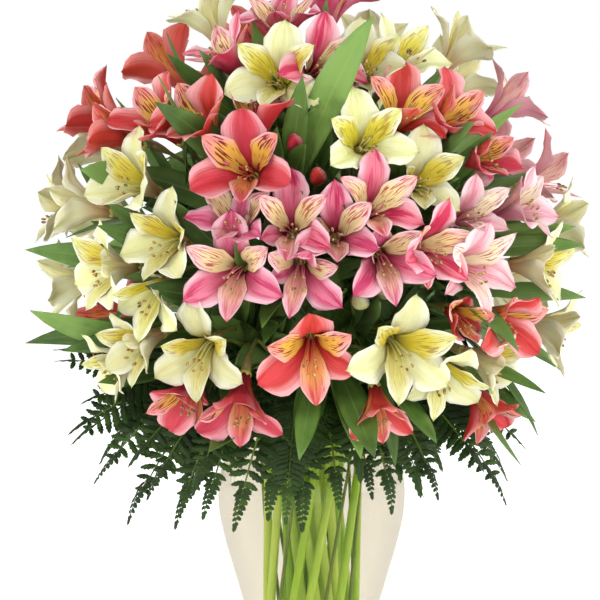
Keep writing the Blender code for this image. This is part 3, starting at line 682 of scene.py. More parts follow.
def pedicel_options(hub: Vector, bloom: Bloom, roll: float) -> Iterator[Limb]:
    """Pedicels from the hub to a bloom's ovary, from the plainest curve on.

    Args:
        hub: The umbel's hub.
        bloom: What the pedicel carries.
        roll: How far the bloom is turned about its own axis, in degrees.

    Returns:
        The pedicels.
    """
    base, face = base_of(bloom)
    up, right = face_frame(face)
    end = base - face * OVARY_LENGTH
    for bend in BENDS:
        knee = end - face * (end - hub).length * bend
        path = tuple(bezier([hub, knee, end], share) for share in (0.0, 0.55, 1.0))
        if bloom.bud:
            yield BudStalk(path, (PEDICEL_RADIUS,) * 3, 4, face)
        else:
            yield Pedicel(path, (PEDICEL_RADIUS,) * 3, 3, up, right, roll)


@dataclass(frozen=True)
class BudStalk(Limb):
    """A bud's stalk, whose solid is four-sided and runs on into the bud."""

    face: Vector = field(default_factory=Vector)

    def marks(self) -> list[Vector]:
        """The corners of the solid at the middle of the path."""
        full = Limb((*self.path, self.path[-1] + self.face * 4.0), (*self.radii, 3.4), self.sides)
        return full.rings()[1]


def petal_options(
    form: BladeForm, base: Vector, face: Vector, outward: Vector, flare: float
) -> Iterator[Blade]:
    """A petal that opens by flare, then ones that open more or less, or are shorter.

    Args:
        form: Its length and its solid's widths.
        base: Where the bloom's core begins.
        face: The direction that the bloom looks in.
        outward: The direction that the petal opens in.
        flare: How far it opens, in degrees.

    Returns:
        The petals.
    """
    root = base + face * (CORE_HEIGHT / 2) + outward * CORE_FACE
    return swings(lambda scale, swing: Blade(
        form, root, face, outward, (PETAL_START, max(16.0, flare + swing)), scale, PETAL_SECTOR
    ))


def sized(form: BladeForm, size: float) -> BladeForm:
    """A blade form at another size, as thick as before."""
    widths = tuple((share, width * size) for share, width in form.widths)
    return replace(form, length=form.length * size, widths=widths)


def rib_options(frond: Frond, slot: Slot) -> Iterator[Rib]:
    """Ribs that arch over the rim and down to a frond's tip, low ones first.

    Args:
        frond: The frond that the rib is for.
        slot: The ring that it stands in, and its bearing in the neck.

    Returns:
        The ribs.
    """
    foot, neck = foot_and_neck(slot)
    tip = Vector(frond.tip)
    reach = hypot(tip.x, tip.y)
    rim = VASE_OUTLINE[-1][1]
    for over in RIM_CLEARANCES:
        near = polar(slot[0].value[1] + 5.0, slot[1], rim + over)
        far = polar(reach * 0.66, bearing(tip), rim + over + 2.0)
        curve = [neck, near, far, tip]
        shares = [0.12, BLADE_START]
        shares += [
            BLADE_START + (1.0 - BLADE_START) * (k + 1) / (PINNA_PAIRS + 1)
            for k in range(PINNA_PAIRS)
        ]
        path = (foot, neck, *(bezier(curve, share) for share in shares))
        widths = [RIB_HALF_WIDTH * (1.0 - 0.6 * share) for share in shares]
        yield Rib(path, (RIB_HALF_WIDTH, RIB_HALF_WIDTH, *widths))


def pinna_length(frond: Frond, share: float) -> float:
    """A leaflet's length at a share of the blade: longest near its base, then ever shorter."""
    return frond.half_width * (0.78 + 0.22 * min(1.0, share / 0.15)) * (1.0 - share) ** 0.8


def pinna_options(
    centre: Vector, along: Vector, side: Vector, upper: Vector, length: float
) -> Iterator[Pinna]:
    """Leaflets on one face of the rib, level first, then lifted or lowered, or shorter.

    Args:
        centre: The middle of the rib's face.
        along: The rib's direction there.
        side: The direction out of that face.
        upper: The rib's upper side.
        length: The leaflet's full length.

    Returns:
        The leaflets.
    """
    sweep = radians(PINNA_SWEEP)

    def made(scale: float, swing: float) -> Pinna:
        """The leaflet for one scale and swing."""
        tilt = radians(swing)
        out = side * cos(tilt) + upper * sin(tilt)
        reach = out * cos(sweep) + along * sin(sweep)
        return Pinna(centre, centre + reach * length * scale, upper)

    return swings(made)


def linear(colour: Rgb) -> tuple[float, float, float, float]:
    """A screen colour, from 0 to 255, as the linear colour that a shader takes."""
    shares = [channel / 255.0 for channel in colour]
    made = [s / 12.92 if s <= 0.04045 else ((s + 0.055) / 1.055) ** 2.4 for s in shares]
    return made[0], made[1], made[2], 1.0


def smooth(low: float, high: float, values: Points) -> Points:
    """A soft step from 0 at low to 1 at high."""
    share = np.clip((values - low) / (high - low), 0.0, 1.0)
    return share * share * (3.0 - 2.0 * share)


class Graph:
    """A material's node tree, drawn node by node."""

    def __init__(self, name: str) -> None:
        """Makes a material that holds a Principled shader alone."""
        self.material = bpy.data.materials.new(name)
        self.material.use_nodes = True
        self.tree = self.material.node_tree
        self.shader = self.tree.nodes["Principled BSDF"]

    def put(self, socket: Socket, value: Any) -> None:
        """Links a socket to another, or sets it."""
        if isinstance(value, Socket):
            self.tree.links.new(value, socket)
        else:
            socket.default_value = value

    def node(self, kind: str, inputs: dict[Any, Any], **settings: Any) -> bpy.types.Node:
        """A new node.

        Args:
            kind: The node's type.
            inputs: What its sockets take, by name or number.
            **settings: Its own settings.

        Returns:
            The node.
        """
        made = self.tree.nodes.new(kind)
        for key, value in settings.items():
            setattr(made, key, value)
        for key, value in inputs.items():
            self.put(made.inputs[key], value)
        return made

    def fact(self, name: str) -> Socket:
        """A number that the mesh keeps at each of its points."""
        return self.node("ShaderNodeAttribute", {}, attribute_name=name).outputs["Fac"]

    def math(self, operation: str, *values: Any) -> Socket:
        """The result of one sum."""
        made = self.node("ShaderNodeMath", dict(enumerate(values)), operation=operation)
        return made.outputs[0]

    def line(self, value: Any, slope: Any, start: Any) -> Socket:
        """A value times a slope, plus a start."""
        return self.math("MULTIPLY_ADD", value, slope, start)

    def product(self, *values: Any) -> Socket:
        """The product of two or more values."""
        result = values[0]
        for value in values[1:]:
            result = self.math("MULTIPLY", result, value)
        return result

    def step(self, value: Any, low: float, high: float) -> Socket:
        """A soft step from 0 at low to 1 at high, or down again where high is the lower."""
        made = self.node(
            "ShaderNodeMapRange",
            {0: value, 1: min(low, high), 2: max(low, high),
             3: float(low > high), 4: float(low < high)},
            interpolation_type="SMOOTHSTEP",
        )
        return made.outputs[0]

    def mix(self, first: Any, second: Any, *shares: Any) -> Socket:
        """A mix of two colours, by the product of the second one's shares."""
        made = self.node("ShaderNodeMix", {0: self.product(*shares)}, data_type="RGBA")
        for socket, value in ((made.inputs[6], first), (made.inputs[7], second)):
            self.put(socket, linear(value) if isinstance(value, tuple) else value)
        return made.outputs[2]

    def place(self) -> Socket:
        """Object coordinates."""
        return self.node("ShaderNodeTexCoord", {}).outputs["Object"]

    def noise(self, scale: float, detail: float = 2.0, where: Any = None) -> Socket:
        """Noise of a given fineness, from 0 to 1."""
        vector = self.place() if where is None else where
        made = self.node("ShaderNodeTexNoise", {"Vector": vector, "Scale": scale, "Detail": detail})
        return made.outputs[0]

    def point(self, *values: Any) -> Socket:
        """A vector of up to three values."""
        return self.node("ShaderNodeCombineXYZ", dict(enumerate(values))).outputs[0]

    def shade(self, colour: Any, value: Any, hue: Any = 0.5) -> Socket:
        """A colour made lighter or darker, with its hue turned."""
        made = self.node("ShaderNodeHueSaturation", {"Color": colour, "Value": value, "Hue": hue})
        return made.outputs[0]

    def bump(self, height: Any, strength: float, depth: float) -> None:
        """Lets a height move the shader's normal."""
        made = self.node("ShaderNodeBump", {"Height": height, "Strength": strength, "Distance": depth})
        self.put(self.shader.inputs["Normal"], made.outputs[0])

    def finish(self, colour: Any, **constants: Any) -> Material:
        """Sets the shader.

        Args:
            colour: The base colour.
            **constants: The shader's other sockets, with _ for a space in their names.

        Returns:
            The material.
        """
        self.put(self.shader.inputs["Base Color"], colour)
        for name, value in constants.items():
            self.shader.inputs[name.replace("_", " ")].default_value = value
        return self.material


@dataclass(frozen=True)
class PetalFinish:
    """The colours of one sort of bloom, as they show on its petals and its anthers."""

    slot: str
    body: Rgb
    edge: Rgb
    throat: Rgb
    tip: Rgb
    vein: Rgb
    inner: Rgb
    blotch: Rgb
    stripe: Rgb
    back: Rgb
    keel: Rgb
    filament: Rgb
    anther: Rgb
    root: Rgb
    flame: Rgb
    flames: float
    tips: float
    flecks: float
    throat_end: float = 0.36

    def petal(self) -> Material:
        """The petals: streaked and veined, paler at the margin, blotched and flecked."""
        g = Graph(self.slot)
        along, side, mark = g.fact("along"), g.fact("across"), g.fact("mark")
        front, tint = g.fact("front"), g.fact("tint")
        reach = g.math("ABSOLUTE", side)
        seed = g.line(tint, 60.0, g.product(mark, 7.0))
        flow = g.noise(1.0, 3.0, g.point(g.product(side, 2.6), g.product(along, 1.7), seed))
        fine = g.noise(1.0, 2.0, g.point(g.product(side, 13.0), g.product(along, 2.2), seed))
        grain = g.noise(420.0)
        ground = g.mix(self.body, self.inner, g.step(mark, 0.2, 0.9))
        drift = g.line(flow, 0.5, g.math("SUBTRACT", along, 0.25))
        colour = g.mix(self.throat, ground, g.step(drift, 0.02, self.throat_end))
        streaks = g.line(fine, 0.45, g.math("SUBTRACT", flow, 0.225))
        flame = g.product(g.step(streaks, 0.42, 0.62), g.step(along, 0.12, 0.4), self.flames,
                          g.line(tint, 0.6, 0.65))
        colour = g.mix(colour, self.flame, flame, g.line(mark, -0.6, 1.0))
        rim = g.line(fine, 0.5, g.math("SUBTRACT", reach, 0.25))
        colour = g.mix(colour, self.edge, g.step(rim, 0.36, 0.92), g.step(along, 0.2, 0.55), 0.85)
        point = g.line(reach, -0.08, g.line(flow, 0.2, along))
        colour = g.mix(colour, self.tip, g.step(point, 0.9, 1.07), self.tips)
        wave = g.math("SINE", g.line(fine, 4.0, g.product(side, 24.0)))
        lines = g.step(g.math("ABSOLUTE", wave), 0.75, 1.0)
        colour = g.mix(colour, self.vein, lines, g.step(along, 0.1, 0.5), 0.16)
        spread = g.line(reach, 0.14, g.line(fine, 0.24, along))
        blotch = g.product(mark, g.step(along, 0.06, 0.22), g.step(spread, 0.9, 0.62))
        colour = g.mix(colour, self.blotch, blotch, 0.92)
        where = g.point(g.product(side, 6.0), g.product(along, 3.0), g.product(tint, 40.0))
        dash = g.step(g.noise(1.9, 0.0, where), 0.56, 0.63)
        dash = g.product(dash, mark, g.step(along, 0.26, 0.36), g.step(along, 0.9, 0.74))
        colour = g.mix(colour, self.stripe, dash, g.step(reach, 0.95, 0.75), self.flecks)
        behind = g.step(front, 0.25, -0.25)
        colour = g.mix(colour, self.back, behind, 0.6)
        colour = g.mix(colour, self.root, behind, g.step(along, 0.42, 0.04), 0.85)
        keel = g.product(behind, g.step(reach, 0.3, 0.05), g.step(along, 0.3, 0.95), 0.7)
        colour = g.mix(colour, self.keel, keel)
        colour = g.shade(colour, g.line(tint, 0.2, 0.88), g.line(tint, 0.016, 0.492))
        g.bump(g.line(fine, 1.2, g.product(grain, 0.4)), 0.5, 0.0007)
        return g.finish(colour, Roughness=0.5, Specular_IOR_Level=0.35, Subsurface_Weight=0.12,
                        Subsurface_Radius=(1.0, 0.5, 0.35), Subsurface_Scale=0.003)

    def thread(self) -> Material:
        """The filaments and styles."""
        g = Graph(self.slot + "_filament")
        colour = g.mix(self.filament, self.vein, g.noise(90.0))
        return g.finish(colour, Roughness=0.5)

    def pollen(self) -> Material:
        """The anthers."""
        g = Graph(self.slot + "_anther")
        colour = g.mix(self.anther, (196, 168, 96), g.step(g.noise(700.0, 3.0), 0.35, 0.65))
        g.bump(g.noise(900.0), 0.6, 0.0003)
        return g.finish(colour, Roughness=0.85)


@dataclass(frozen=True)
class LeafFinish:
    """The greens of a leaf or a fern, from dark to light; the darker greens are partly the leaf's own
    colour and partly painted shade.
    """

    name: str
    dark: Rgb
    mid: Rgb
    light: Rgb
    vein: Rgb
    back: Rgb
    veins: float = 34.0
    gloss: float = 0.42

    def material(self) -> Material:
        """Blades with veins that run from root to tip, duller and paler below."""
        g = Graph(self.name)
        along, side = g.fact("along"), g.fact("across")
        front, tint = g.fact("front"), g.fact("tint")
        reach = g.math("ABSOLUTE", side)
        cloud, grain = g.noise(45.0, 3.0), g.noise(500.0)
        colour = g.mix(self.dark, self.mid, g.step(tint, 0.0, 0.7))
        colour = g.mix(colour, self.light, g.step(tint, 0.7, 1.0))
        colour = g.mix(colour, self.light, g.step(cloud, 0.4, 0.75), 0.35)
        colour = g.mix(colour, self.dark, g.step(cloud, 0.5, 0.25), 0.5)
        wave = g.math("ABSOLUTE", g.math("SINE", g.product(side, self.veins)))
        lines = g.step(wave, 0.75, 1.0)
        rib = g.step(reach, 0.1, 0.0)
        colour = g.mix(colour, self.vein, lines, 0.16)
        colour = g.mix(colour, self.vein, rib, g.step(along, 1.0, 0.6), 0.4)
        colour = g.mix(colour, self.back, g.step(front, 0.25, -0.25), 0.55)
        height = g.line(lines, -0.7, g.product(grain, 0.5))
        g.bump(height, 0.4, 0.0006)
        return g.finish(colour, Roughness=self.gloss, Specular_IOR_Level=0.3,
                        Subsurface_Weight=0.06, Subsurface_Radius=(0.5, 1.0, 0.2),
                        Subsurface_Scale=0.002)


@dataclass(frozen=True)
class StemFinish:
    """The greens of a stem or a pedicel, with a flush towards its end."""

    name: str
    dark: Rgb
    light: Rgb
    flush: Rgb
    flush_share: float

    def material(self) -> Material:
        """A smooth green skin, streaked along and flushed towards the end."""
        g = Graph(self.name)
        along, tint = g.fact("along"), g.fact("tint")
        stretched = g.node("ShaderNodeMapping", {0: g.place(), 3: (1.0, 1.0, 0.12)}).outputs[0]
        streak = g.noise(420.0, 2.0, stretched)
        cloud = g.noise(28.0)
        shade = g.line(streak, 0.5, g.line(cloud, 0.5, tint))
        colour = g.mix(self.dark, self.light, g.step(shade, 0.45, 1.35))
        flush = g.product(g.step(along, 0.45, 0.95), self.flush_share)
        colour = g.mix(colour, self.flush, flush)
        g.bump(streak, 0.3, 0.0004)
        return g.finish(colour, Roughness=0.4, Specular_IOR_Level=0.4, Subsurface_Weight=0.08,
                        Subsurface_Radius=(0.6, 1.0, 0.2), Subsurface_Scale=0.002)


@dataclass(frozen=True)
class ClearFinish:
    """A see-through finish: what each surface lets through, and how it mirrors."""

    name: str
    through: Rgb
    roughness: float
    mirror: float
    sheen: float

    def material(self) -> Material:
        """A thin clear surface with a mirror that grows towards its edges."""
        g = Graph(self.name)
        tree = g.tree
        tree.nodes.remove(g.shader)
        clear = g.node("ShaderNodeBsdfTransparent", {"Color": linear(self.through)})
        gloss = g.node("ShaderNodeBsdfGlossy", {"Roughness": self.roughness})
        facing = g.node("ShaderNodeLayerWeight", {"Blend": 0.5}).outputs["Facing"]
        share = g.line(g.math("POWER", facing, 4.0), self.mirror, self.sheen)
        both = g.node("ShaderNodeMixShader", {0: share, 1: clear.outputs[0], 2: gloss.outputs[0]})
        g.put(tree.nodes["Material Output"].inputs[0], both.outputs[0])
        return g.material


PETAL_FINISHES = {
    CREAM: PetalFinish(
        slot="petal_cream", body=(221, 219, 170), edge=(234, 233, 209), throat=(184, 172, 58),
        tip=(146, 168, 82), vein=(190, 194, 120), inner=(217, 214, 138), blotch=(208, 190, 48),
        stripe=(120, 74, 40), back=(230, 226, 188), keel=(156, 172, 98), root=(178, 132, 80),
        filament=(216, 210, 140), anther=(100, 62, 40), flame=(210, 206, 122), flames=0.6,
        tips=0.6, flecks=0.55,
    ),
    CORAL: PetalFinish(
        slot="petal_coral", body=(200, 58, 68), edge=(240, 172, 176), throat=(168, 20, 30),
        tip=(178, 32, 48), vein=(178, 36, 48), inner=(232, 146, 132), blotch=(226, 176, 66),
        stripe=(116, 16, 26), back=(196, 52, 54), keel=(156, 28, 36), root=(146, 26, 32),
        filament=(224, 130, 100), anther=(112, 70, 48), flame=(180, 34, 44), flames=0.9,
        tips=0.5, flecks=0.95,
    ),
    PINK: PetalFinish(
        slot="petal_pink", body=(219, 116, 138), edge=(240, 194, 202), throat=(142, 16, 54),
        tip=(186, 30, 88), vein=(200, 72, 110), inner=(233, 200, 184), blotch=(230, 208, 150),
        stripe=(168, 24, 56), back=(200, 50, 94), keel=(164, 26, 68), root=(142, 24, 56),
        filament=(226, 150, 160), anther=(92, 68, 54), flame=(184, 32, 82), flames=1.1,
        tips=1.0, flecks=0.85, throat_end=0.56,
    ),
    PALE: PetalFinish(
        slot="petal_pale", body=(236, 184, 190), edge=(244, 222, 220), throat=(192, 76, 102),
        tip=(200, 62, 104), vein=(210, 112, 132), inner=(242, 222, 206), blotch=(240, 226, 186),
        stripe=(164, 50, 72), back=(224, 140, 158), keel=(190, 74, 104), root=(180, 84, 102),
        filament=(230, 184, 186), anther=(104, 76, 58), flame=(214, 120, 138), flames=0.85,
        tips=0.9, flecks=0.8, throat_end=0.46,
    ),
}
LEAF = LeafFinish("leaf_green", dark=(42, 66, 22), mid=(80, 114, 44), light=(117, 150, 70),
                  vein=(140, 170, 96), back=(112, 142, 80))
FERN = LeafFinish("fern_green", dark=(11, 27, 4), mid=(26, 47, 9), light=(66, 94, 27),
                  vein=(64, 92, 34), back=(58, 84, 32), veins=9.0, gloss=0.6)
STEM = StemFinish("stem_green", dark=(168, 214, 58), light=(226, 246, 122), flush=(130, 156, 62),
                  flush_share=0.3)
PEDICEL = StemFinish("pedicel_green", dark=(88, 106, 44), light=(136, 150, 74),
                     flush=(124, 84, 56), flush_share=0.6)
CORE = StemFinish("bloom_core", dark=(140, 140, 60), light=(186, 184, 90), flush=(180, 160, 80),
                  flush_share=0.4)
RIB = StemFinish("fern_rib", dark=(98, 124, 40), light=(146, 168, 74), flush=(46, 66, 24),
                 flush_share=0.9)
GLASS = ClearFinish("vase_glass", through=(239, 236, 231), roughness=0.02, mirror=0.34, sheen=0.01)
WATER = ClearFinish("water", through=(252, 253, 251), roughness=0.01, mirror=0.2, sheen=0.0)


class Facts(Enum):
    """The numbers that a mesh keeps at its points for its materials."""

    ALONG = "along"
    ACROSS = "across"
    FRONT = "front"
    MARK = "mark"
    TINT = "tint"


def clear_selection() -> None:
    """Leaves nothing selected."""
    bpy.ops.object.select_all(action="DESELECT")


def edit(everything: bool = True) -> None:
    """Opens the active mesh for editing, with all of it selected or what is selected already."""
    bpy.ops.object.mode_set(mode="EDIT")
    if everything:
        bpy.ops.mesh.select_all(action="SELECT")


def done() -> Object:
    """Turns the active mesh's selected faces outwards, closes it and shades it smooth."""
    bpy.ops.mesh.normals_make_consistent(inside=False)
    bpy.ops.object.mode_set(mode="OBJECT")
    bpy.ops.object.shade_smooth()
    return bpy.context.object


def merged(parts: Sequence[Object]) -> Object:
    """Several objects as one, which is the first of them."""
    clear_selection()
    for part in parts:
        part.select_set(True)
    bpy.context.view_layer.objects.active = parts[0]
    if len(parts) > 1:
        bpy.ops.object.join()
    return parts[0]


def coordinates(made: Object) -> Points:
    """The places of a mesh's points, as a row each of x, y and z."""
    return np.array([vertex.co for vertex in made.data.vertices]).T


class Pattern:
    """A shape that is modelled once, whose copies are bent to their places."""

    def __init__(self, made: Object, *values: Points) -> None:
        """Takes an object's mesh, and how far along, across and to the front its points are."""
        self.mesh = made.data
        self.points = coordinates(made).T
        bpy.data.objects.remove(made)
        for fact in Facts:
            if fact.value not in self.mesh.attributes:
                self.mesh.attributes.new(fact.value, "FLOAT", "POINT")
        for fact, numbers in zip(Facts, values):
            self.mesh.attributes[fact.value].data.foreach_set("value", numbers.astype(np.float32))
        self.tints = np.zeros(len(self.points), np.float32)
        self.mesh.attributes[Facts.TINT.value].data.foreach_get("value", self.tints)

    def cast(
        self, points: Points, material: Material | None, tint: float = 0.5,
        mark: float = 0.0,
    ) -> Object:
        """A copy with its own mesh.

        Args:
            points: Where the copy's points are, in millimetres.
            material: Its finish.
            tint: Where it stands between the finish's extremes.
            mark: How strongly it is marked.

        Returns:
            The copy, in the scene.
        """
        mesh = self.mesh.copy()
        mesh.vertices.foreach_set("co", (points * MM).astype(np.float32).ravel())
        marks = np.full(len(points), mark, np.float32)
        for fact, values in ((Facts.TINT, self.tints + np.float32(tint)), (Facts.MARK, marks)):
            mesh.attributes[fact.value].data.foreach_set("value", values)
        mesh.materials.clear()
        mesh.materials.append(material)
        made = bpy.data.objects.new("cast", mesh)
        bpy.context.scene.collection.objects.link(made)
        return made


def sheet_pattern(columns: int, rows: int) -> Pattern:
    """A thin slab of cells: x across from -1 to 1, y along from 0 to 1, z from -0.5 to 0.5."""
    clear_selection()
    bpy.ops.mesh.primitive_grid_add(x_subdivisions=columns, y_subdivisions=rows, size=2.0)
    edit()
    bpy.ops.mesh.extrude_region_move(TRANSFORM_OT_translate={"value": (0.0, 0.0, 1.0)})
    bpy.ops.mesh.select_all(action="SELECT")
    bpy.ops.transform.translate(value=(0.0, 1.0, -0.5))
    bpy.ops.transform.resize(value=(1.0, 0.5, 1.0), center_override=(0.0, 0.0, 0.0))
    made = done()
    x, y, z = coordinates(made)
    return Pattern(made, y, x, z)


def tube_pattern(sides: int, rings: int) -> Pattern:
    """A closed tube: radius 1 round z, which runs from 0 to 1 over evenly spread rings."""
    clear_selection()
    bpy.ops.mesh.primitive_circle_add(vertices=sides, radius=1.0, fill_type="NGON")
    edit()
    rise = (0.0, 0.0, 1.0 / (rings - 1))
    for _ in range(rings - 1):
        bpy.ops.mesh.extrude_region_move(TRANSFORM_OT_translate={"value": rise})
    bpy.ops.mesh.select_all(action="SELECT")
    made = done()
    x, y, z = coordinates(made)
    return Pattern(made, z, np.arctan2(y, x) / np.pi, np.ones(len(z)))


def drop_pattern(sides: int, rings: int) -> Pattern:
    """A ball of radius 1 whose poles lie on z."""
    clear_selection()
    bpy.ops.mesh.primitive_uv_sphere_add(segments=sides, ring_count=rings, radius=1.0)
    made = bpy.context.object
    bpy.ops.object.shade_smooth()
    x, y, z = coordinates(made)
    return Pattern(made, (z + 1) / 2, np.arctan2(y, x) / np.pi, np.ones(len(z)))


def lobe_pattern(steps: int, half_width: float, crown: float, tooth: float = 0.0) -> Pattern:
    """A fern's lobe or small leaflet.

    Args:
        steps: How many points its margin has.
        half_width: Half its width, as a share of its length.
        crown: How far its two faces rise.
        tooth: How far every second point of its margin is drawn in, as a share.

    Returns:
        The lobe, with y along from 0 to 1, x across and z its thickness.
    """
    clear_selection()
    bpy.ops.mesh.primitive_uv_sphere_add(segments=steps, ring_count=2, radius=1.0)
    made = bpy.context.object
    for vertex in made.data.vertices:
        x, y, z = vertex.co
        if abs(z) > 0.5:
            vertex.co = (0.0, 0.41, crown * z)
            continue
        turn = atan2(x, y)
        share = 0.5 + 0.5 * cos(turn)
        width = sin(pi * share ** 0.82) ** 0.6 if 0.0 < share < 1.0 else 0.0
        drawn_in = tooth if round(turn * steps / (2 * pi)) % 2 == 0 else 0.0
        width *= half_width * (1.0 - drawn_in)
        lean = 0.035 if tooth and not drawn_in else 0.0
        vertex.co = (copysign(width, x), min(1.0, share + lean), 0.0)
    bpy.ops.object.shade_flat()
    x, y, z = coordinates(made)
    return Pattern(made, y, x / half_width, np.sign(z) * 0.5 + 0.01)


def leaflet_pattern(length: float, pairs: int, reach: float, lean: float = 56.0) -> Pattern:
    """A fern's whole leaflet: lobes along both sides of a thin rib.

    Args:
        length: Its usual length, in millimetres.
        pairs: How many pairs of lobes it has.
        reach: How far its lobes usually reach, in millimetres.
        lean: The angle between lobes and rib, in degrees.

    Returns:
        The leaflet, with y along from 0 to 1, x across from -1 to 1 and z in millimetres.
    """
    rng = random.Random(pairs)
    lobe = lobe_pattern(6, 0.4, 0.05)
    x, y, z = lobe.points.T
    angle = radians(lean)
    parts = []
    for k in range(pairs):
        share = (k + 0.3) / pairs
        size = reach * 1.2 * (1.0 - share) ** 0.42 * (0.8 + 0.2 * min(1.0, share / 0.2))
        for sign in (-1.0, 1.0):
            out = np.array((sign * sin(angle), cos(angle), rng.uniform(-0.2, 0.12)))
            beside = np.array((-out[1], out[0], 0.0)) * sign
            points = (out * (y * size)[:, None] + beside * (x * size)[:, None]
                      + np.array((0.0, 0.0, 1.0)) * (z * size)[:, None])
            points = points + np.array((0.0, length * (share + sign * 0.1 / pairs), 0.0))
            parts.append(lobe.cast(points, None, rng.uniform(-0.14, 0.14)))
    tip = lobe.points * (reach * 0.8, reach * 1.1, reach) + np.array((0.0, length * 0.9, 0.0))
    parts.append(lobe.cast(tip, None, 0.0))
    stalk = tube_pattern(3, 3)
    slim = stalk.points[:, [0, 2, 1]] * (0.35, length * 0.96, 0.3)
    parts.append(stalk.cast(slim, None, 0.3))
    made = Pattern(merged(parts))
    made.points = made.points / MM / np.array((reach, length, 1.0))
    return made


def spoke(axis: Vector, turn: float) -> Vector:
    """A direction square to an axis, turned round it by an angle in radians."""
    side = axis.orthogonal().normalized()
    return side * cos(turn) + axis.cross(side) * sin(turn)


def row(vector: Vector) -> Points:
    """A vector as one row of numbers."""
    return np.array(vector, dtype=float)[None, :]


def blade_frame(blade: Blade, shares: Points) -> tuple[Points, Points, Points, Points]:
    """The blade's midline at shares of its length.

    Args:
        blade: The blade.
        shares: Shares of its length, one for each point.

    Returns:
        The midline's points, and its directions along, to the side and to the front there.
    """
    start, end = (radians(angle) for angle in blade.angles)
    turn = end - start if abs(end - start) > 0.01 else 0.01
    angle = (start + turn * shares)[:, None]
    radius = blade.form.length * blade.scale / turn
    root, axis, outward = row(blade.root), row(blade.axis), row(blade.outward)
    point = (root + outward * (radius * (cos(start) - np.cos(angle)))
             + axis * (radius * (np.sin(angle) - sin(start))))
    along = axis * np.cos(angle) + outward * np.sin(angle)
    side = np.cross(axis, outward)
    side = np.repeat(side / np.linalg.norm(side), len(shares), axis=0)
    return point, along, side, np.cross(along, side)


@dataclass(frozen=True)
class PetalShape:
    """How a petal widens, cups, ruffles and ends."""

    half_width: float
    widest: float
    roundness: float
    cup: Place
    ruffle: float
    curl: float
    point: float
    sector: float = 0.9
    claw: float = 0.18
    crease: float = 0.07
    thickness: float = 0.7

    def width(self, shares: Points) -> Points:
        """The share of the full width at shares of the length."""
        rise = self.claw + (1.0 - self.claw) * smooth(0.04, self.widest, shares)
        fall = np.clip((shares - self.widest) / (1.0 - self.widest), 0.0, 1.0)
        return np.maximum(rise * (1.0 - fall ** 2.2) ** self.roundness, 0.03)


@dataclass(frozen=True)
class BloomShape:
    """The outer and the inner petals of one sort of bloom."""

    outer: PetalShape
    inner: PetalShape


BLOOM_SHAPES = {
    CREAM: BloomShape(
        PetalShape(11.2, 0.64, 0.7, (0.7, 0.3, 0.12), ruffle=0.22, curl=0.06, point=1.6),
        PetalShape(8.8, 0.6, 0.8, (0.9, 0.4, 0.2), ruffle=0.14, curl=0.0, point=1.0, sector=0.62),
    ),
    CORAL: BloomShape(
        PetalShape(12.8, 0.68, 0.56, (0.85, 0.45, 0.34), ruffle=0.2, curl=0.0, point=1.4),
        PetalShape(8.4, 0.62, 0.75, (0.9, 0.5, 0.3), ruffle=0.12, curl=-0.02, point=0.8, sector=0.62),
    ),
    PINK: BloomShape(
        PetalShape(11.0, 0.66, 0.72, (0.75, 0.35, 0.2), ruffle=0.25, curl=0.06, point=1.8),
        PetalShape(7.8, 0.6, 0.85, (0.9, 0.4, 0.1), ruffle=0.14, curl=0.04, point=1.0, sector=0.62),
    ),
    PALE: BloomShape(
        PetalShape(10.0, 0.62, 0.8, (0.7, 0.3, 0.15), ruffle=0.23, curl=0.07, point=2.0),
        PetalShape(7.6, 0.58, 0.9, (0.9, 0.4, 0.1), ruffle=0.12, curl=0.05, point=1.2, sector=0.62),
    ),
}
ROW_CROWDING = 1.5
PETAL_REACH = 0.95


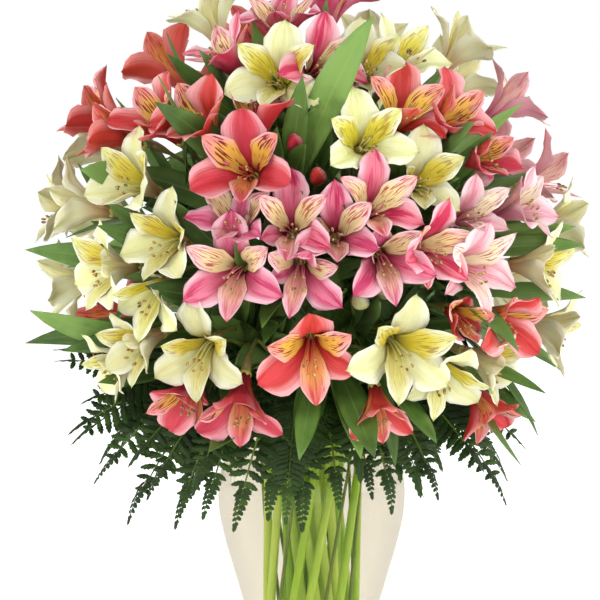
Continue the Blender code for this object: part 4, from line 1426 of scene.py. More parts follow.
def bend_petal(
    pattern: Pattern, blade: Blade, shape: PetalShape, size: float, rng: random.Random
) -> Points:
    """A petal's points along its blade.

    Args:
        pattern: The slab that is bent.
        blade: The arc that the petal follows.
        shape: Its outline and its relief.
        size: The size of its bloom.
        rng: Where its own small differences come from.

    Returns:
        The points, in millimetres.
    """
    v, y, z = pattern.points.T
    u = 1.0 - (1.0 - y) ** ROW_CROWDING
    reach_share = PETAL_REACH * rng.uniform(0.95, 1.03)
    point, along, side, front = blade_frame(blade, u * reach_share)
    reach = ((point - row(blade.root)) @ np.array(blade.outward)) + CORE_FACE
    half = shape.half_width * size * blade.scale * rng.uniform(0.92, 1.06) * shape.width(u)
    half = np.minimum(half, shape.sector * reach)
    notch = np.sin(rng.uniform(17.0, 27.0) * u + np.where(v > 0.0, rng.uniform(0, 6), 3.0))
    half = half * (1.0 + np.sign(v) * rng.uniform(-0.08, 0.08) + 0.06 * notch * v ** 4)
    cup = np.interp(u, (0.0, 0.45, 1.0), shape.cup) + rng.uniform(-0.12, 0.14) * u
    wave = np.zeros(len(u))
    for sign in (-1.0, 1.0):
        phase, pace = rng.uniform(0.0, 6.28), rng.uniform(9.0, 18.0)
        wave += np.where(v * sign > 0.0, np.sin(pace * u + phase), 0.0)
    lift = half * (cup * v ** 2 + shape.ruffle * wave * np.abs(v) ** 1.6 * smooth(0.3, 0.75, u))
    fold = np.sin(rng.uniform(5.0, 8.0) * v + rng.uniform(0.0, 6.28) + 1.5 * u)
    lift += shape.crease * half * fold * smooth(0.15, 0.5, u)
    lift -= 0.07 * half * np.exp(-((v / 0.18) ** 2)) * smooth(0.1, 0.4, u)
    length = blade.form.length * blade.scale
    lift -= length * smooth(0.6, 1.0, u) * (shape.curl + rng.uniform(-0.03, 0.05))
    lift += z * shape.thickness * (1.0 - 0.7 * np.abs(v) ** 3) * (1.0 - 0.6 * u)
    twist = (radians(rng.uniform(-16.0, 16.0)) * u)[:, None]
    turned_side = side * np.cos(twist) + front * np.sin(twist)
    turned_front = front * np.cos(twist) - side * np.sin(twist)
    stretch = shape.point * smooth(0.9, 1.0, u) * (1.0 - np.abs(v))
    sway = rng.uniform(-0.05, 0.05) * length * u ** 2
    return (point + turned_side * (half * v + sway)[:, None] + turned_front * lift[:, None]
            + along * stretch[:, None])


def bend_leaf(
    pattern: Pattern, blade: Blade, half_width: float, rng: random.Random, peak: float = 0.45,
    jitter: float = 24.0,
) -> Points:
    """A leaf's points along its blade, turned on its stalk so that its face looks outwards.

    Args:
        pattern: The slab that is bent.
        blade: The arc that the leaf follows.
        half_width: Half its width where it is widest.
        rng: Where its own small differences come from.
        peak: The share of its length at which it is widest.
        jitter: How far it may be turned off that, in degrees.

    Returns:
        The points, in millimetres.
    """
    v, u, z = pattern.points.T
    point, along, side, front = blade_frame(blade, u)
    width = np.sin(np.pi * u ** (log(0.5) / log(peak))) ** 0.95
    half = half_width * np.maximum(np.maximum(width, 0.2 * (1.0 - u) ** 2), 0.012)
    phase = rng.uniform(0.0, 6.28)
    lift = half * (0.3 * np.abs(v) + 0.08 * np.sin(9.0 * u + phase) * v)
    bow = blade.form.length * blade.scale * 0.015
    lift += bow * np.sin(5.0 * u + phase) * smooth(0.0, 0.4, u) * (1.0 - u)
    lift += z * 0.6 * (1.0 - 0.6 * np.abs(v) ** 3)
    middle, _, mid_side, mid_front = (part[0] for part in blade_frame(blade, np.array([0.5])))
    wanted = (middle - np.array(HEART)) * (1.0, 1.0, 0.25) + (0.0, 0.0, 8.0)
    turn = atan2(-float(wanted @ mid_side), float(wanted @ mid_front))
    turn = max(-1.75, min(1.75, turn)) + radians(rng.uniform(-jitter, jitter))
    turned = (turn * smooth(0.0, 0.3, u))[:, None]
    turned_side = side * np.cos(turned) + front * np.sin(turned)
    turned_front = front * np.cos(turned) - side * np.sin(turned)
    return point + turned_side * (half * v)[:, None] + turned_front * lift[:, None]


def spine(points: Sequence[Vector], shares: Points) -> tuple[Points, Points, Points]:
    """A smooth curve through points.

    Args:
        points: What it runs through.
        shares: Where it is wanted, as shares of its length, for each of a pattern's points.

    Returns:
        The curve's points there, and two directions square to it and to each other.
    """
    way = np.array([tuple(p) for p in points])
    steps = np.linalg.norm(np.diff(way, axis=0), axis=1)
    length = np.concatenate([[0.0], np.cumsum(steps)])
    slope = np.zeros_like(way)
    slope[1:-1] = (way[2:] - way[:-2]) / (steps[1:] + steps[:-1])[:, None]
    slope[0], slope[-1] = (way[1] - way[0]) / steps[0], (way[-1] - way[-2]) / steps[-1]
    wanted, index = np.unique(np.round(shares, 6), return_inverse=True)
    at = wanted * length[-1]
    k = np.clip(np.searchsorted(length, at, side="right") - 1, 0, len(steps) - 1)
    t = ((at - length[k]) / steps[k])[:, None]
    near = np.minimum(np.concatenate([[steps[0]], steps])[k], steps[k])[:, None]
    far = np.minimum(np.concatenate([steps, [steps[-1]]])[k + 1], steps[k])[:, None]
    curve = ((2 * t**3 - 3 * t**2 + 1) * way[k] + (t**3 - 2 * t**2 + t) * near * slope[k]
             + (3 * t**2 - 2 * t**3) * way[k + 1] + (t**3 - t**2) * far * slope[k + 1])
    tangent = np.gradient(curve, axis=0)
    tangent /= np.linalg.norm(tangent, axis=1)[:, None]
    sides = np.zeros_like(curve)
    side = np.array(Vector(tangent[0]).orthogonal().normalized())
    for n, direction in enumerate(tangent):
        side = side - direction * (side @ direction)
        side /= np.linalg.norm(side)
        sides[n] = side
    others = np.cross(tangent, sides)
    index = index.reshape(-1)
    return curve[index], sides[index], others[index]


def bend_tube(pattern: Pattern, points: Sequence[Vector], radius: Callable[[Points], Points]) -> Points:
    """A tube's points along a smooth curve.

    Args:
        pattern: The tube that is bent.
        points: What the curve runs through.
        radius: The tube's radius at shares of its length.

    Returns:
        The points, in millimetres.
    """
    x, y, z = pattern.points.T
    centre, side, other = spine(points, z)
    reach = radius(z)
    return centre + side * (x * reach)[:, None] + other * (y * reach)[:, None]


def egg(
    pattern: Pattern, start: Vector, end: Vector, radius: float, blunt: float = 0.0,
    lobes: float = 0.0,
) -> Points:
    """A ball's points as an egg between two points.

    Args:
        pattern: The ball.
        start: One end.
        end: The other end.
        radius: Its radius.
        blunt: How much fuller it is towards its start.
        lobes: How deep its three furrows are, as a share of the radius.

    Returns:
        The points, in millimetres.
    """
    x, y, z = pattern.points.T
    axis = (end - start).normalized()
    side = axis.orthogonal().normalized()
    other = axis.cross(side)
    fuller = radius * (1.0 - blunt * z) * (1.0 + lobes * np.cos(3 * np.arctan2(y, x)))
    return (row((start + end) / 2) + row(axis) * (z * (end - start).length / 2)[:, None]
            + row(side) * (x * fuller)[:, None] + row(other) * (y * fuller)[:, None])


def joined(name: str, parts: Sequence[Object], slot: str, *nodes: str) -> Object:
    """One piece made of several castings.

    Args:
        name: The piece's name.
        parts: What it is made of.
        slot: Not used.
        *nodes: The CAD nodes that it stands for.

    Returns:
        The piece, riding on the part's body.
    """
    piece = merged(parts)
    piece.name = piece.data.name = name
    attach(piece, BODY)
    if nodes:
        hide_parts(*nodes)
    LOG.info("%s: %d castings, %d faces", name, len(parts), len(piece.data.polygons))
    return piece


def once(make: Callable[..., Any], *numbers: float) -> Any:
    """A field that is made when its owner is."""
    return field(default_factory=lambda: make(*numbers))


@dataclass
class Patterns:
    """The shapes that the bouquet is cast from, each modelled once."""

    petal: Pattern = once(sheet_pattern, 10, 12)
    far_petal: Pattern = once(sheet_pattern, 8, 9)
    leaf: Pattern = once(sheet_pattern, 4, 12)
    bract: Pattern = once(sheet_pattern, 2, 8)
    drop: Pattern = once(drop_pattern, 12, 8)
    stem: Pattern = once(tube_pattern, 10, 26)
    pedicel: Pattern = once(tube_pattern, 7, 13)
    thread: Pattern = once(tube_pattern, 4, 6)
    bud: Pattern = once(drop_pattern, 18, 14)
    anther: Pattern = once(drop_pattern, 6, 4)
    leaflet: Pattern = once(leaflet_pattern, 28.0, 8, 5.4)
    simple_leaflet: Pattern = once(lobe_pattern, 26, 1.0, 0.35, 0.26)


@dataclass
class Finishes:
    """The materials of the bouquet."""

    petals: dict[Colour, Material] = field(
        default_factory=lambda: {colour: f.petal() for colour, f in PETAL_FINISHES.items()})
    threads: dict[Colour, Material] = field(
        default_factory=lambda: {colour: f.thread() for colour, f in PETAL_FINISHES.items()})
    pollens: dict[Colour, Material] = field(
        default_factory=lambda: {colour: f.pollen() for colour, f in PETAL_FINISHES.items()})
    leaf: Material = once(LEAF.material)
    stem: Material = once(STEM.material)
    pedicel: Material = once(PEDICEL.material)
    core: Material = once(CORE.material)
    fern: Material = once(FERN.material)
    rib: Material = once(RIB.material)
    glass: Material = once(GLASS.material)
    water: Material = once(WATER.material)


@dataclass
class Kit:
    """What every sub-assembly is made with."""

    nodes: dict[str, Object]
    patterns: Patterns = once(Patterns)
    finishes: Finishes = once(Finishes)
    slots: dict[str, Slot] = once(stem_slots)
    lost: int = 0

    def corners(self, node: str) -> Corners:
        """The corners of a node's solid."""
        return Corners(self.nodes[node])


def spun(name: str, profile: Outline, sides: int) -> Object:
    """A turned body.

    Args:
        name: Its name.
        profile: Its outline from the axis at the bottom back to the axis, as (radius, height).
        sides: How many steps it is turned in.

    Returns:
        The object, closed and with its faces outwards.
    """
    clear_selection()
    bpy.ops.mesh.primitive_circle_add(vertices=len(profile), fill_type="NOTHING")
    made = bpy.context.object
    for vertex, (radius, height) in zip(made.data.vertices, profile):
        vertex.co = (radius * MM, 0.0, height * MM)
        vertex.select = False
    for edge in made.data.edges:
        edge.select = set(edge.vertices) == {0, len(profile) - 1}
    bpy.context.tool_settings.mesh_select_mode = (False, True, False)
    edit(everything=False)
    bpy.ops.mesh.delete(type="EDGE")
    bpy.context.tool_settings.mesh_select_mode = (True, False, False)
    bpy.ops.mesh.select_all(action="SELECT")
    bpy.ops.mesh.spin(steps=sides, angle=2 * pi, center=(0, 0, 0), axis=(0, 0, 1))
    bpy.ops.mesh.select_all(action="SELECT")
    bpy.ops.mesh.remove_doubles(threshold=1e-6)
    made = done()
    made.name = made.data.name = name
    return made


def rounded(points: Outline, cuts: int) -> list[tuple[float, float]]:
    """An outline through the same points as before with its corners smoothed."""
    way = [Vector((r, 0.0, z)) for r, z in points]
    shares = np.linspace(0.0, 1.0, (len(points) - 1) * cuts + 1)
    curve = spine(way, shares)[0]
    return [(float(p[0]), float(p[2])) for p in curve]


@dataclass
class Vase:
    """The glass vase and the water in it."""

    outline: tuple[tuple[float, float], ...] = VASE_OUTLINE
    wall: float = VASE_WALL
    floor: float = VASE_FLOOR
    sides: int = 80
    cuts: int = 5

    def inner(self, top: float, gap: float = 0.0) -> list[tuple[float, float]]:
        """The inside outline from the axis up to a height."""
        curve = rounded(self.outline, self.cuts)
        side = [(r - self.wall - gap, z) for r, z in curve if self.floor + 4.0 < z < top]
        foot = side[0][0]
        low = self.floor + gap
        return [(0.0, low), (foot * 0.6, low), (foot - 3.0, low + 0.3), (foot - 0.8, low + 1.8), *side]

    def make(self, kit: Kit) -> None:
        """Builds the glass and the water."""
        outer = [(r, z) for r, z in rounded(self.outline, self.cuts) if z > 2.0]
        foot = self.outline[0][0]
        rim_radius, rim = self.outline[-1]
        profile = [(0.0, 2.2), (foot * 0.72, 1.8), (foot * 0.84, 0.0), (foot - 1.5, 0.0),
                   (foot - 0.2, 1.0), *outer[:-1]]
        profile += [(rim_radius, rim), (rim_radius - 0.3, rim + 0.6), (rim_radius - 1.4, rim + 0.9),
                    (rim_radius - 2.4, rim + 0.6)]
        profile += reversed(self.inner(rim + 0.1))
        glass = spun("glass_vase", profile, self.sides)
        glass.data.materials.append(kit.finishes.glass)
        joined("glass_vase", [glass], "vase_glass", "vase")
        side = self.inner(WATER_LEVEL - 1.0, GAP)
        edge = side[-1][0]
        level = [(edge + 0.1, WATER_LEVEL), (edge - 1.2, WATER_LEVEL - 0.8),
                 (edge - 3.5, WATER_LEVEL - 1.2), (0.0, WATER_LEVEL - 1.2)]
        water = spun("still_water", [*side, *level], self.sides)
        water.data.materials.append(kit.finishes.water)
        joined("still_water", [water], "water", "water")


@dataclass(frozen=True)
class ShowLeaf:
    """A leaf that the photograph shows among an umbel's blooms, by the place of its tip."""

    tip: Sequence[float]
    half_width: float
    tint: float


SHOW_LEAVES = {
    "coral_upper_left": (
        ShowLeaf((37, -146, 450), 12, 1), ShowLeaf((-6, -128, 414), 8, 0.55),
        ShowLeaf((8, -118, 398), 10.5, 0.4), ShowLeaf((-96, -130, 398), 10, 0.3),
    ),
    "pink_crown": (ShowLeaf((9, -76, 462), 6, 0.7), ShowLeaf((-91, -78, 428), 6.5, 0.5)),
    "cream_top": (ShowLeaf((-70, -104, 430), 6, 0.4),),
    "coral_far_left": (
        ShowLeaf((-94, -124, 414), 8.5, 0.6), ShowLeaf((-122, -86, 400), 7, 0.3),
        ShowLeaf((-143, -106, 356), 9, 0.9),
    ),
    "cream_left": (ShowLeaf((-132, -118, 322), 8, 0.35),),
    "coral_upper_right": (ShowLeaf((99, -128, 386), 8.5, 0.3), ShowLeaf((111, -110, 380), 7, 0.5)),
    "cream_crown": (ShowLeaf((84, -64, 420), 6, 0.8),),
    "pale_right": (ShowLeaf((126, -136, 246), 9, 0.6), ShowLeaf((172, -62, 307), 6.5, 0.8)),
    "cream_far_right": (ShowLeaf((174, -52, 273), 6.5, 0.8), ShowLeaf((130, -98, 172), 8.5, 0.75)),
    "coral_right": (ShowLeaf((146, -92, 216), 6.5, 0.6),),
    "coral_low": (ShowLeaf((38, -146, 182), 10.5, 0.45), ShowLeaf((-8, -142, 180), 7.5, 0.8)),
    "cream_lower_right": (ShowLeaf((76, -136, 190), 9.5, 0.6),),
    "coral_low_left": (ShowLeaf((-64, -116, 182), 9, 0.35),),
    "cream_lower_left": (
        ShowLeaf((-178, -66, 266), 10, 0.95), ShowLeaf((-158, -62, 240), 8, 0.4),
        ShowLeaf((-134, -84, 222), 8, 0.3),
    ),
    "pink_left": (ShowLeaf((-102, -134, 286), 9.5, 0.15), ShowLeaf((-84, -132, 338), 8.5, 0.3)),
}


@dataclass
class FloweringStem:
    """A green stem with its leaves, its umbel of blooms, and all that they carry."""

    umbel: Umbel
    rolls: list[float]
    leaf_rng: random.Random
    bracts: int = 5
    gap_leaf_lift: float = -4.0
    bract_form: BladeForm = BladeForm(72.0, ())
    bract_half_width: float = 7.6
    long_half_width: float = 9.8
    whorl_half_width: float = 8.2
    side_half_width: float = 7.0
    side_leaves: int = 5
    side_form: BladeForm = BladeForm(66.0, ())
    stamens: int = 6

    def make(self, kit: Kit) -> None:
        """Builds the stem and the umbel."""
        self.kit = kit
        self.rng = random.Random(self.umbel.name)
        stem_corners = kit.corners("stem_" + self.umbel.name)
        options = list(stem_options(self.umbel, kit.slots[self.umbel.name]))
        limb = stem_corners.pick(options) or options[0]
        self.make_stem(limb, stem_corners)
        self.make_umbel(limb)

    def make_stem(self, limb: Limb, corners: Corners) -> None:
        """Builds the stem and the leaves that its solid holds."""
        finishes, patterns = self.kit.finishes, self.kit.patterns
        tint = self.rng.uniform(-0.1, 0.6)
        parts = [patterns.stem.cast(
            bend_tube(patterns.stem, limb.path, lambda t: 3.1 - 0.8 * t), finishes.stem, tint)]
        upper, lower = len(limb.path) - 3, len(limb.path) - 5
        whorls = {upper: whorl_faces(limb, upper), lower: whorl_faces(limb, lower)}
        blades = []
        for target in self.umbel.leaves:
            axis = limb.direction(upper + 1)
            free = whorls[upper]
            wanted = across(axis, Vector(target) - limb.path[upper])
            face = max(free, key=lambda side: (side.centre - limb.path[upper]).dot(wanted))
            blade = corners.pick(aimed_leaves(face, axis, Vector(target)))
            if blade:
                free.remove(face)
                blades.append((blade, self.long_half_width))
        for (stretch, free), count in zip(whorls.items(), LEAVES_PER_WHORL):
            axis = limb.direction(stretch + 1)
            for face in self.leaf_rng.sample(free, min(count, len(free))):
                lean = self.leaf_rng.uniform(-12.0, 12.0)
                options = list(whorl_leaves(face, axis, lean))
                blade = corners.pick(options)
                if blade is None:
                    self.kit.lost += 1
                blades.append((blade or options[-1], self.whorl_half_width))
        for blade, half_width in blades:
            parts.append(self.make_leaf(patterns.leaf, blade, half_width, peak=0.54))
        parts += self.make_side_leaves(limb)
        name = self.umbel.name
        joined("leafy_stem_" + name, parts, "stem_green", "stem_" + name)

    def make_leaf(
        self, pattern: Pattern, blade: Blade, half_width: float, peak: float = 0.45,
        lightest_tint: float = 1.0,
    ) -> Object:
        """A leaf along a blade, of any green up to the lightest that it may take."""
        points = bend_leaf(pattern, blade, half_width, self.rng, peak)
        return pattern.cast(points, self.kit.finishes.leaf, self.rng.uniform(0.0, lightest_tint))

    def make_side_leaves(self, limb: Limb) -> list[Object]:
        """Leaves between the whorls, which turn the inside of the bouquet green; they take only the
        darker greens, as painted shade inside the bouquet.
        """
        parts = []
        for k in range(self.side_leaves):
            low, high = limb.path[-4 + k % 3], limb.path[-3 + k % 3]
            axis = (high - low).normalized()
            outward = spoke(axis, self.rng.uniform(0.0, 2 * pi))
            lean = self.rng.uniform(22.0, 50.0)
            blade = Blade(self.side_form, low.lerp(high, self.rng.random()), axis, outward,
                          (lean - 6.0, lean + 34.0), self.rng.uniform(0.75, 1.1))
            # Leaves inside the bouquet are held to the darker greens: painted shade.
            parts.append(self.make_leaf(
                self.kit.patterns.bract, blade, self.side_half_width, lightest_tint=0.6))
        return parts

    def make_umbel(self, limb: Limb) -> None:
        """Builds the pedicels, buds and blooms, and the small leaves at the hub."""
        finishes, patterns = self.kit.finishes, self.kit.patterns
        node = "blooms_" + self.umbel.name
        corners = self.kit.corners(node)
        hub = hub_of(self.umbel)
        axis = (hub - limb.path[-1]).normalized()
        parts = [patterns.drop.cast(
            egg(patterns.drop, hub - axis * 4.4, hub + axis * 3.6, 3.6), finishes.pedicel, 0.3)]
        for bloom, roll in zip(self.umbel.blooms, self.rolls):
            options = list(pedicel_options(hub, bloom, roll))
            pedicel = corners.pick(options) or options[0]
            parts += self.make_bud(bloom, pedicel) if bloom.bud else self.make_bloom(
                bloom, pedicel, roll, corners)
        start = self.rng.uniform(0.0, 360.0)
        for k in range(self.bracts):
            turn = start + 360.0 * k / self.bracts + self.rng.uniform(-20.0, 20.0)
            outward = spoke(axis, radians(turn))
            lean = self.rng.uniform(8.0, 40.0)
            blade = Blade(self.bract_form, hub + outward * 1.5, axis, outward,
                          (lean, lean + 30.0), self.rng.uniform(0.75, 1.1))
            parts.append(self.make_leaf(patterns.bract, blade, self.bract_half_width))
        parts += self.make_show_leaves(hub, axis)
        joined("umbel_" + self.umbel.name, parts, "petal_" + self.umbel.colour.value, node)

    def make_show_leaves(self, hub: Vector, axis: Vector) -> list[Object]:
        """The leaves that show between and in front of the blooms.

        Args:
            hub: The umbel's hub.
            axis: The stem's direction there.

        Returns:
            Their castings.
        """
        wanted = list(SHOW_LEAVES.get(self.umbel.name, ()))
        middles = [middle_of(bloom)[0] for bloom in self.umbel.blooms]
        for first, second in zip(middles, middles[1:]):
            if (first - second).length < 75.0:
                tip = (first + second) / 2 + UP * self.rng.uniform(-6.0, 10.0)
                tip += (tip - HEART).normalized() * self.rng.uniform(-20.0, self.gap_leaf_lift)
                wanted.append(ShowLeaf(tip, self.rng.uniform(6.5, 9.0), self.rng.random()))
        parts = []
        pattern = self.kit.patterns.leaf
        for leaf in wanted:
            chord = Vector(leaf.tip) - hub
            outward = across(axis, chord)
            middle = degrees(chord.angle(axis))
            bow = self.rng.uniform(9.0, 17.0) * self.rng.choice((-1.0, 1.0))
            length = chord.length * radians(bow) / sin(radians(bow))
            blade = Blade(BladeForm(length, ()), hub, axis, outward, (middle - bow, middle + bow))
            points = bend_leaf(pattern, blade, leaf.half_width, self.rng, 0.66, 15.0)
            parts.append(pattern.cast(points, self.kit.finishes.leaf, leaf.tint))
        return parts

    def make_bud(self, bloom: Bloom, pedicel: Limb) -> list[Object]:
        """A closed bud on its pedicel."""
        finishes, patterns = self.kit.finishes, self.kit.patterns
        _, face = base_of(bloom)
        start = pedicel.path[-1]
        colour = self.umbel.colour
        stalk = bend_tube(patterns.pedicel, pedicel.path, lambda t: 1.25 + 0.5 * smooth(0.85, 1.0, t))
        ovary = egg(patterns.bud, start - face * 1.5, start + face * 7.0, 3.0, 0.1, 0.06)
        bud = egg(patterns.bud, start + face * 4.0, start + face * BUD_LENGTH, 5.2, 0.12, 0.07)
        return [
            patterns.pedicel.cast(stalk, finishes.pedicel, self.rng.uniform(0.2, 0.8)),
            patterns.bud.cast(ovary, finishes.pedicel, 0.5),
            patterns.bud.cast(bud, finishes.petals[colour], self.rng.random()),
        ]

    def make_bloom(self, bloom: Bloom, pedicel: Limb, roll: float, corners: Corners) -> list[Object]:
        """One open bloom.

        Args:
            bloom: Where it is and how it faces.
            pedicel: Its stalk.
            roll: How far it is turned about its own axis, in degrees.
            corners: The corners of its umbel's solid.

        Returns:
            Its castings.
        """
        finishes, patterns, rng = self.kit.finishes, self.kit.patterns, self.rng
        colour = self.umbel.colour
        shapes = BLOOM_SHAPES[colour]
        base, face = base_of(bloom)
        up, right = face_frame(face)
        stalk = bend_tube(
            patterns.pedicel, (*pedicel.path, base),
            lambda t: 1.3 + 1.7 * smooth(0.74, 0.9, t) + 0.6 * smooth(0.92, 1.0, t))
        parts = [patterns.pedicel.cast(stalk, finishes.pedicel, rng.uniform(0.2, 0.8))]
        core = egg(patterns.drop, base - face * 2.0, base + face * 4.5, 4.2)
        parts.append(patterns.drop.cast(core, finishes.core, rng.random()))
        shown = bloom.depth is None
        petal = patterns.petal if shown else patterns.far_petal
        petals = [(clock, Whorl.OUTER) for clock in OUTER_CLOCK]
        petals += [
            (clock, Whorl.LOWER_INNER if clock == 270 else Whorl.UPPER_INNER)
            for clock in INNER_CLOCK
        ]
        tint = rng.random()
        for clock, whorl in petals:
            outer = whorl is Whorl.OUTER
            form = PLAIN_PETAL if not shown else OUTER_PETAL if outer else INNER_PETAL
            flare = bloom.flare * (1.0 if outer else INNER_FLARE_SHARE)
            angle = radians(clock + roll)
            outward = right * cos(angle) + up * sin(angle)
            options = list(petal_options(sized(form, bloom.size), base, face, outward, flare))
            blade = corners.pick(options, least=0.3)
            if blade is None:
                self.kit.lost += 1
                blade = options[0]
            shape = shapes.outer if outer else shapes.inner
            points = bend_petal(petal, blade, shape, bloom.size, rng)
            shade = min(1.0, max(0.0, tint + rng.uniform(-0.15, 0.15)))
            parts.append(petal.cast(points, finishes.petals[colour], shade, whorl.value))
        return parts + self.make_stamens(base, face, up, right, bloom.size)

    def make_stamens(
        self, base: Vector, face: Vector, up: Vector, right: Vector, size: float
    ) -> list[Object]:
        """The stamens, which lean down over the lower petal and lift at their ends.

        Args:
            base: Where the bloom's core begins.
            face: The direction that the bloom looks in.
            up: The direction that is up on its face.
            right: The direction that is right on its face.
            size: Its size.

        Returns:
            Their castings.
        """
        finishes, patterns, rng = self.kit.finishes, self.kit.patterns, self.rng
        colour = self.umbel.colour
        parts = []
        for k in range(self.stamens):
            turn = 2 * pi * k / self.stamens
            spread = right * cos(turn) + up * sin(turn)
            start = base + face * 2.0 + spread * 1.4
            bow = base + face * 17.0 * size + spread * 2.6 - up * 2.0
            drop = rng.uniform(4.0, 8.0)
            end = (base + face * rng.uniform(27.0, 33.0) * size + spread * rng.uniform(3.0, 5.5)
                   - up * drop)
            path = [start, bow, end]
            thread = bend_tube(patterns.thread, path, lambda t: 0.5 - 0.15 * t)
            parts.append(patterns.thread.cast(thread, finishes.threads[colour]))
            lean = (end - bow).normalized()
            tip = (lean + up * rng.uniform(-0.4, 0.8)).normalized()
            head = egg(patterns.anther, end - tip * 1.8, end + tip * 1.8, 0.95)
            parts.append(patterns.anther.cast(head, finishes.pollens[colour], rng.random()))
        return parts


@dataclass(frozen=True)
class Spray:
    """A smaller frond that branches off another one's stalk and looks towards a bearing."""

    tip: Place
    half_width: float
    facing: float


SPRAYS = {
    "fern_far_left": (
        Spray((-161, -40, 232), 27, -106), Spray((-143, -60, 208), 31, -104),
        Spray((-150, -66, 190), 31, -102),
    ),
    "fern_left": (
        Spray((-133, -64, 163), 35, -108), Spray((-150, -48, 182), 31, -110),
        Spray((-112, -76, 172), 33, -100), Spray((-122, -50, 196), 31, -110),
    ),
    "fern_front_left": (
        Spray((-84, -90, 140), 34, -106), Spray((-100, -84, 156), 32, -108),
        Spray((-112, -84, 142), 33, -104), Spray((-72, -96, 160), 32, -98),
        Spray((-66, -94, 146), 32, -100), Spray((-88, -66, 176), 30, -104),
    ),
    "fern_front": (
        Spray((-46, -102, 140), 34, -96), Spray((-26, -100, 146), 33, -92),
        Spray((-6, -102, 140), 32, -88), Spray((16, -98, 152), 30, -86),
        Spray((-16, -80, 170), 30, -94),
    ),
    "fern_front_right": (
        Spray((30, -104, 166), 31, -90), Spray((50, -100, 150), 28, -86),
        Spray((36, -98, 158), 29, -82), Spray((78, -84, 156), 30, -80), Spray((56, -84, 164), 28, -84),
    ),
    "fern_right": (
        Spray((121, -58, 150), 33, -78), Spray((106, -66, 168), 29, -80),
        Spray((136, -18, 176), 29, -70),
    ),
    "fern_back_right": (
        Spray((52, 100, 148), 28, 72), Spray((122, 46, 164), 28, 44), Spray((84, 80, 170), 27, 54),
    ),
    "fern_back": (Spray((-50, 104, 148), 28, 108), Spray((18, 108, 150), 28, 84)),
    "fern_back_left": (Spray((-126, 40, 168), 28, 150), Spray((-82, 84, 150), 28, 124)),
}


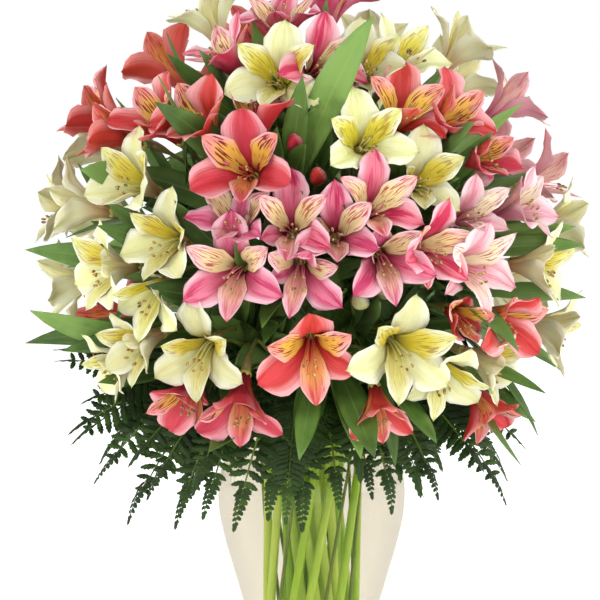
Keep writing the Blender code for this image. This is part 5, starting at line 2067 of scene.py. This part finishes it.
@dataclass
class FernFrond:
    """A leatherleaf frond: stalk, rib and leaflets that are divided again, and its sprays."""

    frond: Frond
    long_leaflet: float = 24.0
    longest_lobe: float = 5.6
    least_leaflet: float = 5.5
    spray_pairs: int = 23

    def make(self, kit: Kit) -> None:
        """Builds the frond along the rib that its solid holds."""
        self.kit = kit
        self.rng = random.Random(self.frond.name)
        corners = kit.corners(self.frond.name)
        options = list(rib_options(self.frond, kit.slots[self.frond.name]))
        rib = corners.pick(options) or options[0]
        tip = Vector(self.frond.tip)
        parts = [self.make_rib([*rib.path, tip])]
        rings = rib.rings()
        cells = len(rib.path) - 1 - FIRST_CELL
        for a, b in ((1, 2), (3, 0)):
            leaflets: list[Pinna] = []
            for k in range(cells):
                n = FIRST_CELL + k
                low, high = rib.path[n], rib.path[n + 1]
                along = (high - low).normalized()
                upper = rib.frame(n)[2]
                length = pinna_length(self.frond, k / cells)
                centre = (rings[n][a] + rings[n][b] + rings[n + 1][a] + rings[n + 1][b]) / 4
                side = across(along, centre - (low + high) / 2)
                pinna = corners.pick(pinna_options(centre, along, side, upper, length))
                if pinna is None:
                    self.kit.lost += 1
                    continue
                leaflets.append(self.grown(pinna, k / cells))
            parts += self.make_row(leaflets)
        parts += self.make_pinna(Pinna(rib.path[-2], tip, rib.frame(len(rib.path) - 2)[2]))
        for spray in SPRAYS.get(self.frond.name, ()):
            parts += self.make_spray(spray, rib)
        joined("fine_" + self.frond.name, parts, "fern_green", self.frond.name)

    def grown(self, pinna: Pinna, share: float) -> Pinna:
        """A leaflet at its full length, which the solid holds a little shorter near the tip."""
        reach = (pinna.tip - pinna.root) * (1.04 + 0.45 * share)
        reach *= max(1.0, self.least_leaflet / reach.length)
        return Pinna(pinna.root, pinna.root + reach, pinna.upper)

    def make_rib(self, path: Sequence[Vector]) -> Object:
        """The stalk and the rib, which thins to its tip."""
        pattern = self.kit.patterns.pedicel
        stalk = bend_tube(pattern, path, lambda t: 1.5 - 1.25 * t)
        return pattern.cast(stalk, self.kit.finishes.rib, 0.3)

    def make_row(self, leaflets: Sequence[Pinna]) -> list[Object]:
        """A row of leaflets with more between each two, so that they stand close."""
        parts = []
        for pinna, after in zip(leaflets, (*leaflets[1:], None)):
            parts += self.make_pinna(pinna)
            if after is None:
                break
            shares = (0.5,) if (pinna.tip - pinna.root).length > self.long_leaflet else (0.33, 0.67)
            for share in shares:
                parts += self.make_pinna(Pinna(
                    pinna.root.lerp(after.root, share), pinna.tip.lerp(after.tip, share),
                    pinna.upper))
        return parts

    def make_spray(self, spray: Spray, rib: Rib) -> list[Object]:
        """A smaller frond from the stalk to its own tip.

        Args:
            spray: Where its tip is and how it faces.
            rib: The rib of the frond that it branches off.

        Returns:
            Its castings.
        """
        tip = Vector(spray.tip)
        start = rib.path[2]
        away = (start - rib.path[1]).normalized()
        reach = hypot(tip.x, tip.y)
        over = polar(reach * 0.62, bearing(tip), VASE_OUTLINE[-1][1] + 26.0)
        curve = [start, start + away * 22.0, over, tip]
        path = [bezier(curve, k / 12) for k in range(13)]
        parts = [self.make_rib(path)]
        parts += self.make_pinna(Pinna(path[-2], tip + (tip - path[-2]) * 0.3, UP))
        for sign in (-1.0, 1.0):
            for k in range(self.spray_pairs):
                share = k / self.spray_pairs
                at = 0.26 + 0.72 * share
                root = bezier(curve, at)
                along = (bezier(curve, at + 0.02) - root).normalized()
                turn = spray.facing + self.rng.uniform(-12.0, 12.0)
                level = along.cross(polar(1.0, turn, 0.4)).normalized()
                upper = level.cross(along)
                out = level * (sign * cos(0.42)) + along * sin(0.42)
                out = out + upper * self.rng.uniform(-0.16, 0.1)
                length = spray.half_width * min(1.0, 0.7 + 2.0 * share) * (1.0 - share ** 2.4) ** 0.8
                parts += self.make_pinna(Pinna(root, root + out * max(6.0, length), upper))
        return parts

    def make_pinna(self, pinna: Pinna) -> list[Object]:
        """One leaflet, which arches a little and lets its lobes hang."""
        patterns, rng = self.kit.patterns, self.rng
        reach = pinna.tip - pinna.root
        length = reach.length
        lobed = length > self.long_leaflet
        pattern = patterns.leaflet if lobed else patterns.simple_leaflet
        x, y, z = pattern.points.T
        along = reach.normalized()
        upward = pinna.upper if pinna.upper.z > 0.0 else -pinna.upper
        side = along.cross(upward).normalized()
        upper = side.cross(along)
        half = min(self.longest_lobe, 0.2 * length) if lobed else 0.12 * length + 1.1
        half *= rng.uniform(0.9, 1.1)
        arch = rng.uniform(0.02, 0.1) * length
        sway = rng.uniform(-0.04, 0.1) * length
        rise = z + arch * np.sin(np.pi * y) - 0.35 * half * x ** 2 - 0.03 * length * y ** 2
        points = (row(pinna.root) + row(along) * (y * length)[:, None]
                  + row(side) * (x * half + sway * y ** 2)[:, None] + row(upper) * rise[:, None])
        return [pattern.cast(points, self.kit.finishes.fern, rng.uniform(0.05, 0.85))]


@dataclass
class Studio:
    """The plain floor, the soft light and the camera."""

    distance: float = 2.2
    elevation: float = 4.0
    target: Place = (-0.0075, 0.0, 0.268)
    frame_width: float = 0.39
    sensor: float = 36.0

    def make(self) -> None:
        """Sets up the floor, the light and the camera."""
        self.make_floor()
        self.make_world()
        self.make_light("key", (-1.0, -2.0, 1.5), 0.8, 22.0)
        self.make_light("fill", (1.8, -1.3, 0.9), 1.2, 16.0)
        self.make_light("low", (0.3, -2.2, 0.25), 1.0, 11.0)
        self.make_light("crown", (0.2, 0.9, 2.3), 1.4, 15.0)
        self.make_light("left_wing", (-2.1, 0.2, 0.9), 1.2, 22.0)
        self.make_light("right_wing", (2.1, 0.3, 0.9), 1.2, 22.0)
        self.make_camera()
        bpy.context.scene.view_settings.view_transform = "Standard"

    def make_floor(self) -> None:
        """The floor, which is not part of the object."""
        clear_selection()
        bpy.ops.mesh.primitive_plane_add(size=60.0)
        floor = bpy.context.object
        floor.name = "floor"
        g = Graph("floor")
        cloud = g.mix((238, 238, 237), (241, 241, 240), g.noise(3.0))
        floor.data.materials.append(g.finish(
            cloud, Roughness=0.8, Emission_Color=(1.0, 1.0, 1.0, 1.0), Emission_Strength=0.7))

    def make_world(self) -> None:
        """An even pale surround, which shows a little brighter than it lights."""
        world = bpy.data.worlds.new("surround")
        world.use_nodes = True
        bpy.context.scene.world = world
        tree = world.node_tree
        light = tree.nodes["Background"]
        light.inputs["Color"].default_value = (0.98, 0.99, 1.0, 1.0)
        light.inputs["Strength"].default_value = 0.42
        shown = tree.nodes.new("ShaderNodeBackground")
        shown.inputs["Color"].default_value = (1.0, 1.0, 1.0, 1.0)
        both = tree.nodes.new("ShaderNodeMixShader")
        ray = tree.nodes.new("ShaderNodeLightPath")
        sources = (ray.outputs["Is Camera Ray"], light.outputs[0], shown.outputs[0])
        for source, socket in zip(sources, both.inputs):
            tree.links.new(source, socket)
        tree.links.new(both.outputs[0], tree.nodes["World Output"].inputs[0])

    def make_light(self, name: str, place: Place, size: float, power: float) -> None:
        """A large square light that looks at the bouquet."""
        clear_selection()
        bpy.ops.object.light_add(type="AREA", location=place)
        lamp = bpy.context.object
        lamp.name = name
        lamp.data.energy = power
        lamp.data.size = size
        aim = Vector(self.target) - Vector(place)
        lamp.rotation_euler = aim.to_track_quat("-Z", "Y").to_euler()

    def make_camera(self) -> None:
        """The camera, at the photograph's angle and framing."""
        clear_selection()
        rise = radians(self.elevation)
        back = Vector((0.0, -cos(rise), sin(rise)))
        bpy.ops.object.camera_add(location=Vector(self.target) + back * self.distance)
        camera = bpy.context.object
        camera.rotation_euler = (-back).to_track_quat("-Z", "Y").to_euler()
        camera.data.sensor_width = self.sensor
        camera.data.lens = self.sensor * self.distance / self.frame_width
        camera.data.clip_end = 100.0
        bpy.context.scene.camera = camera


def main() -> None:
    """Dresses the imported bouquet, piece by piece."""
    logging.basicConfig(level=logging.INFO, format="%(message)s", stream=sys.stdout)
    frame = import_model()
    kit = Kit(frame["nodes"])
    Vase().make(kit)
    rng = random.Random(SEED)
    rolls = {
        umbel.name: [rng.uniform(-ROLL_SPREAD, ROLL_SPREAD) for _ in umbel.blooms]
        for umbel in UMBELS
    }
    for umbel in UMBELS:
        FloweringStem(umbel, rolls[umbel.name], rng).make(kit)
    for frond in FRONDS:
        FernFrond(frond).make(kit)
    Studio().make()
    LOG.info("%d choices that the solids do not hold", kit.lost)


if __name__ == "__main__":
    main()
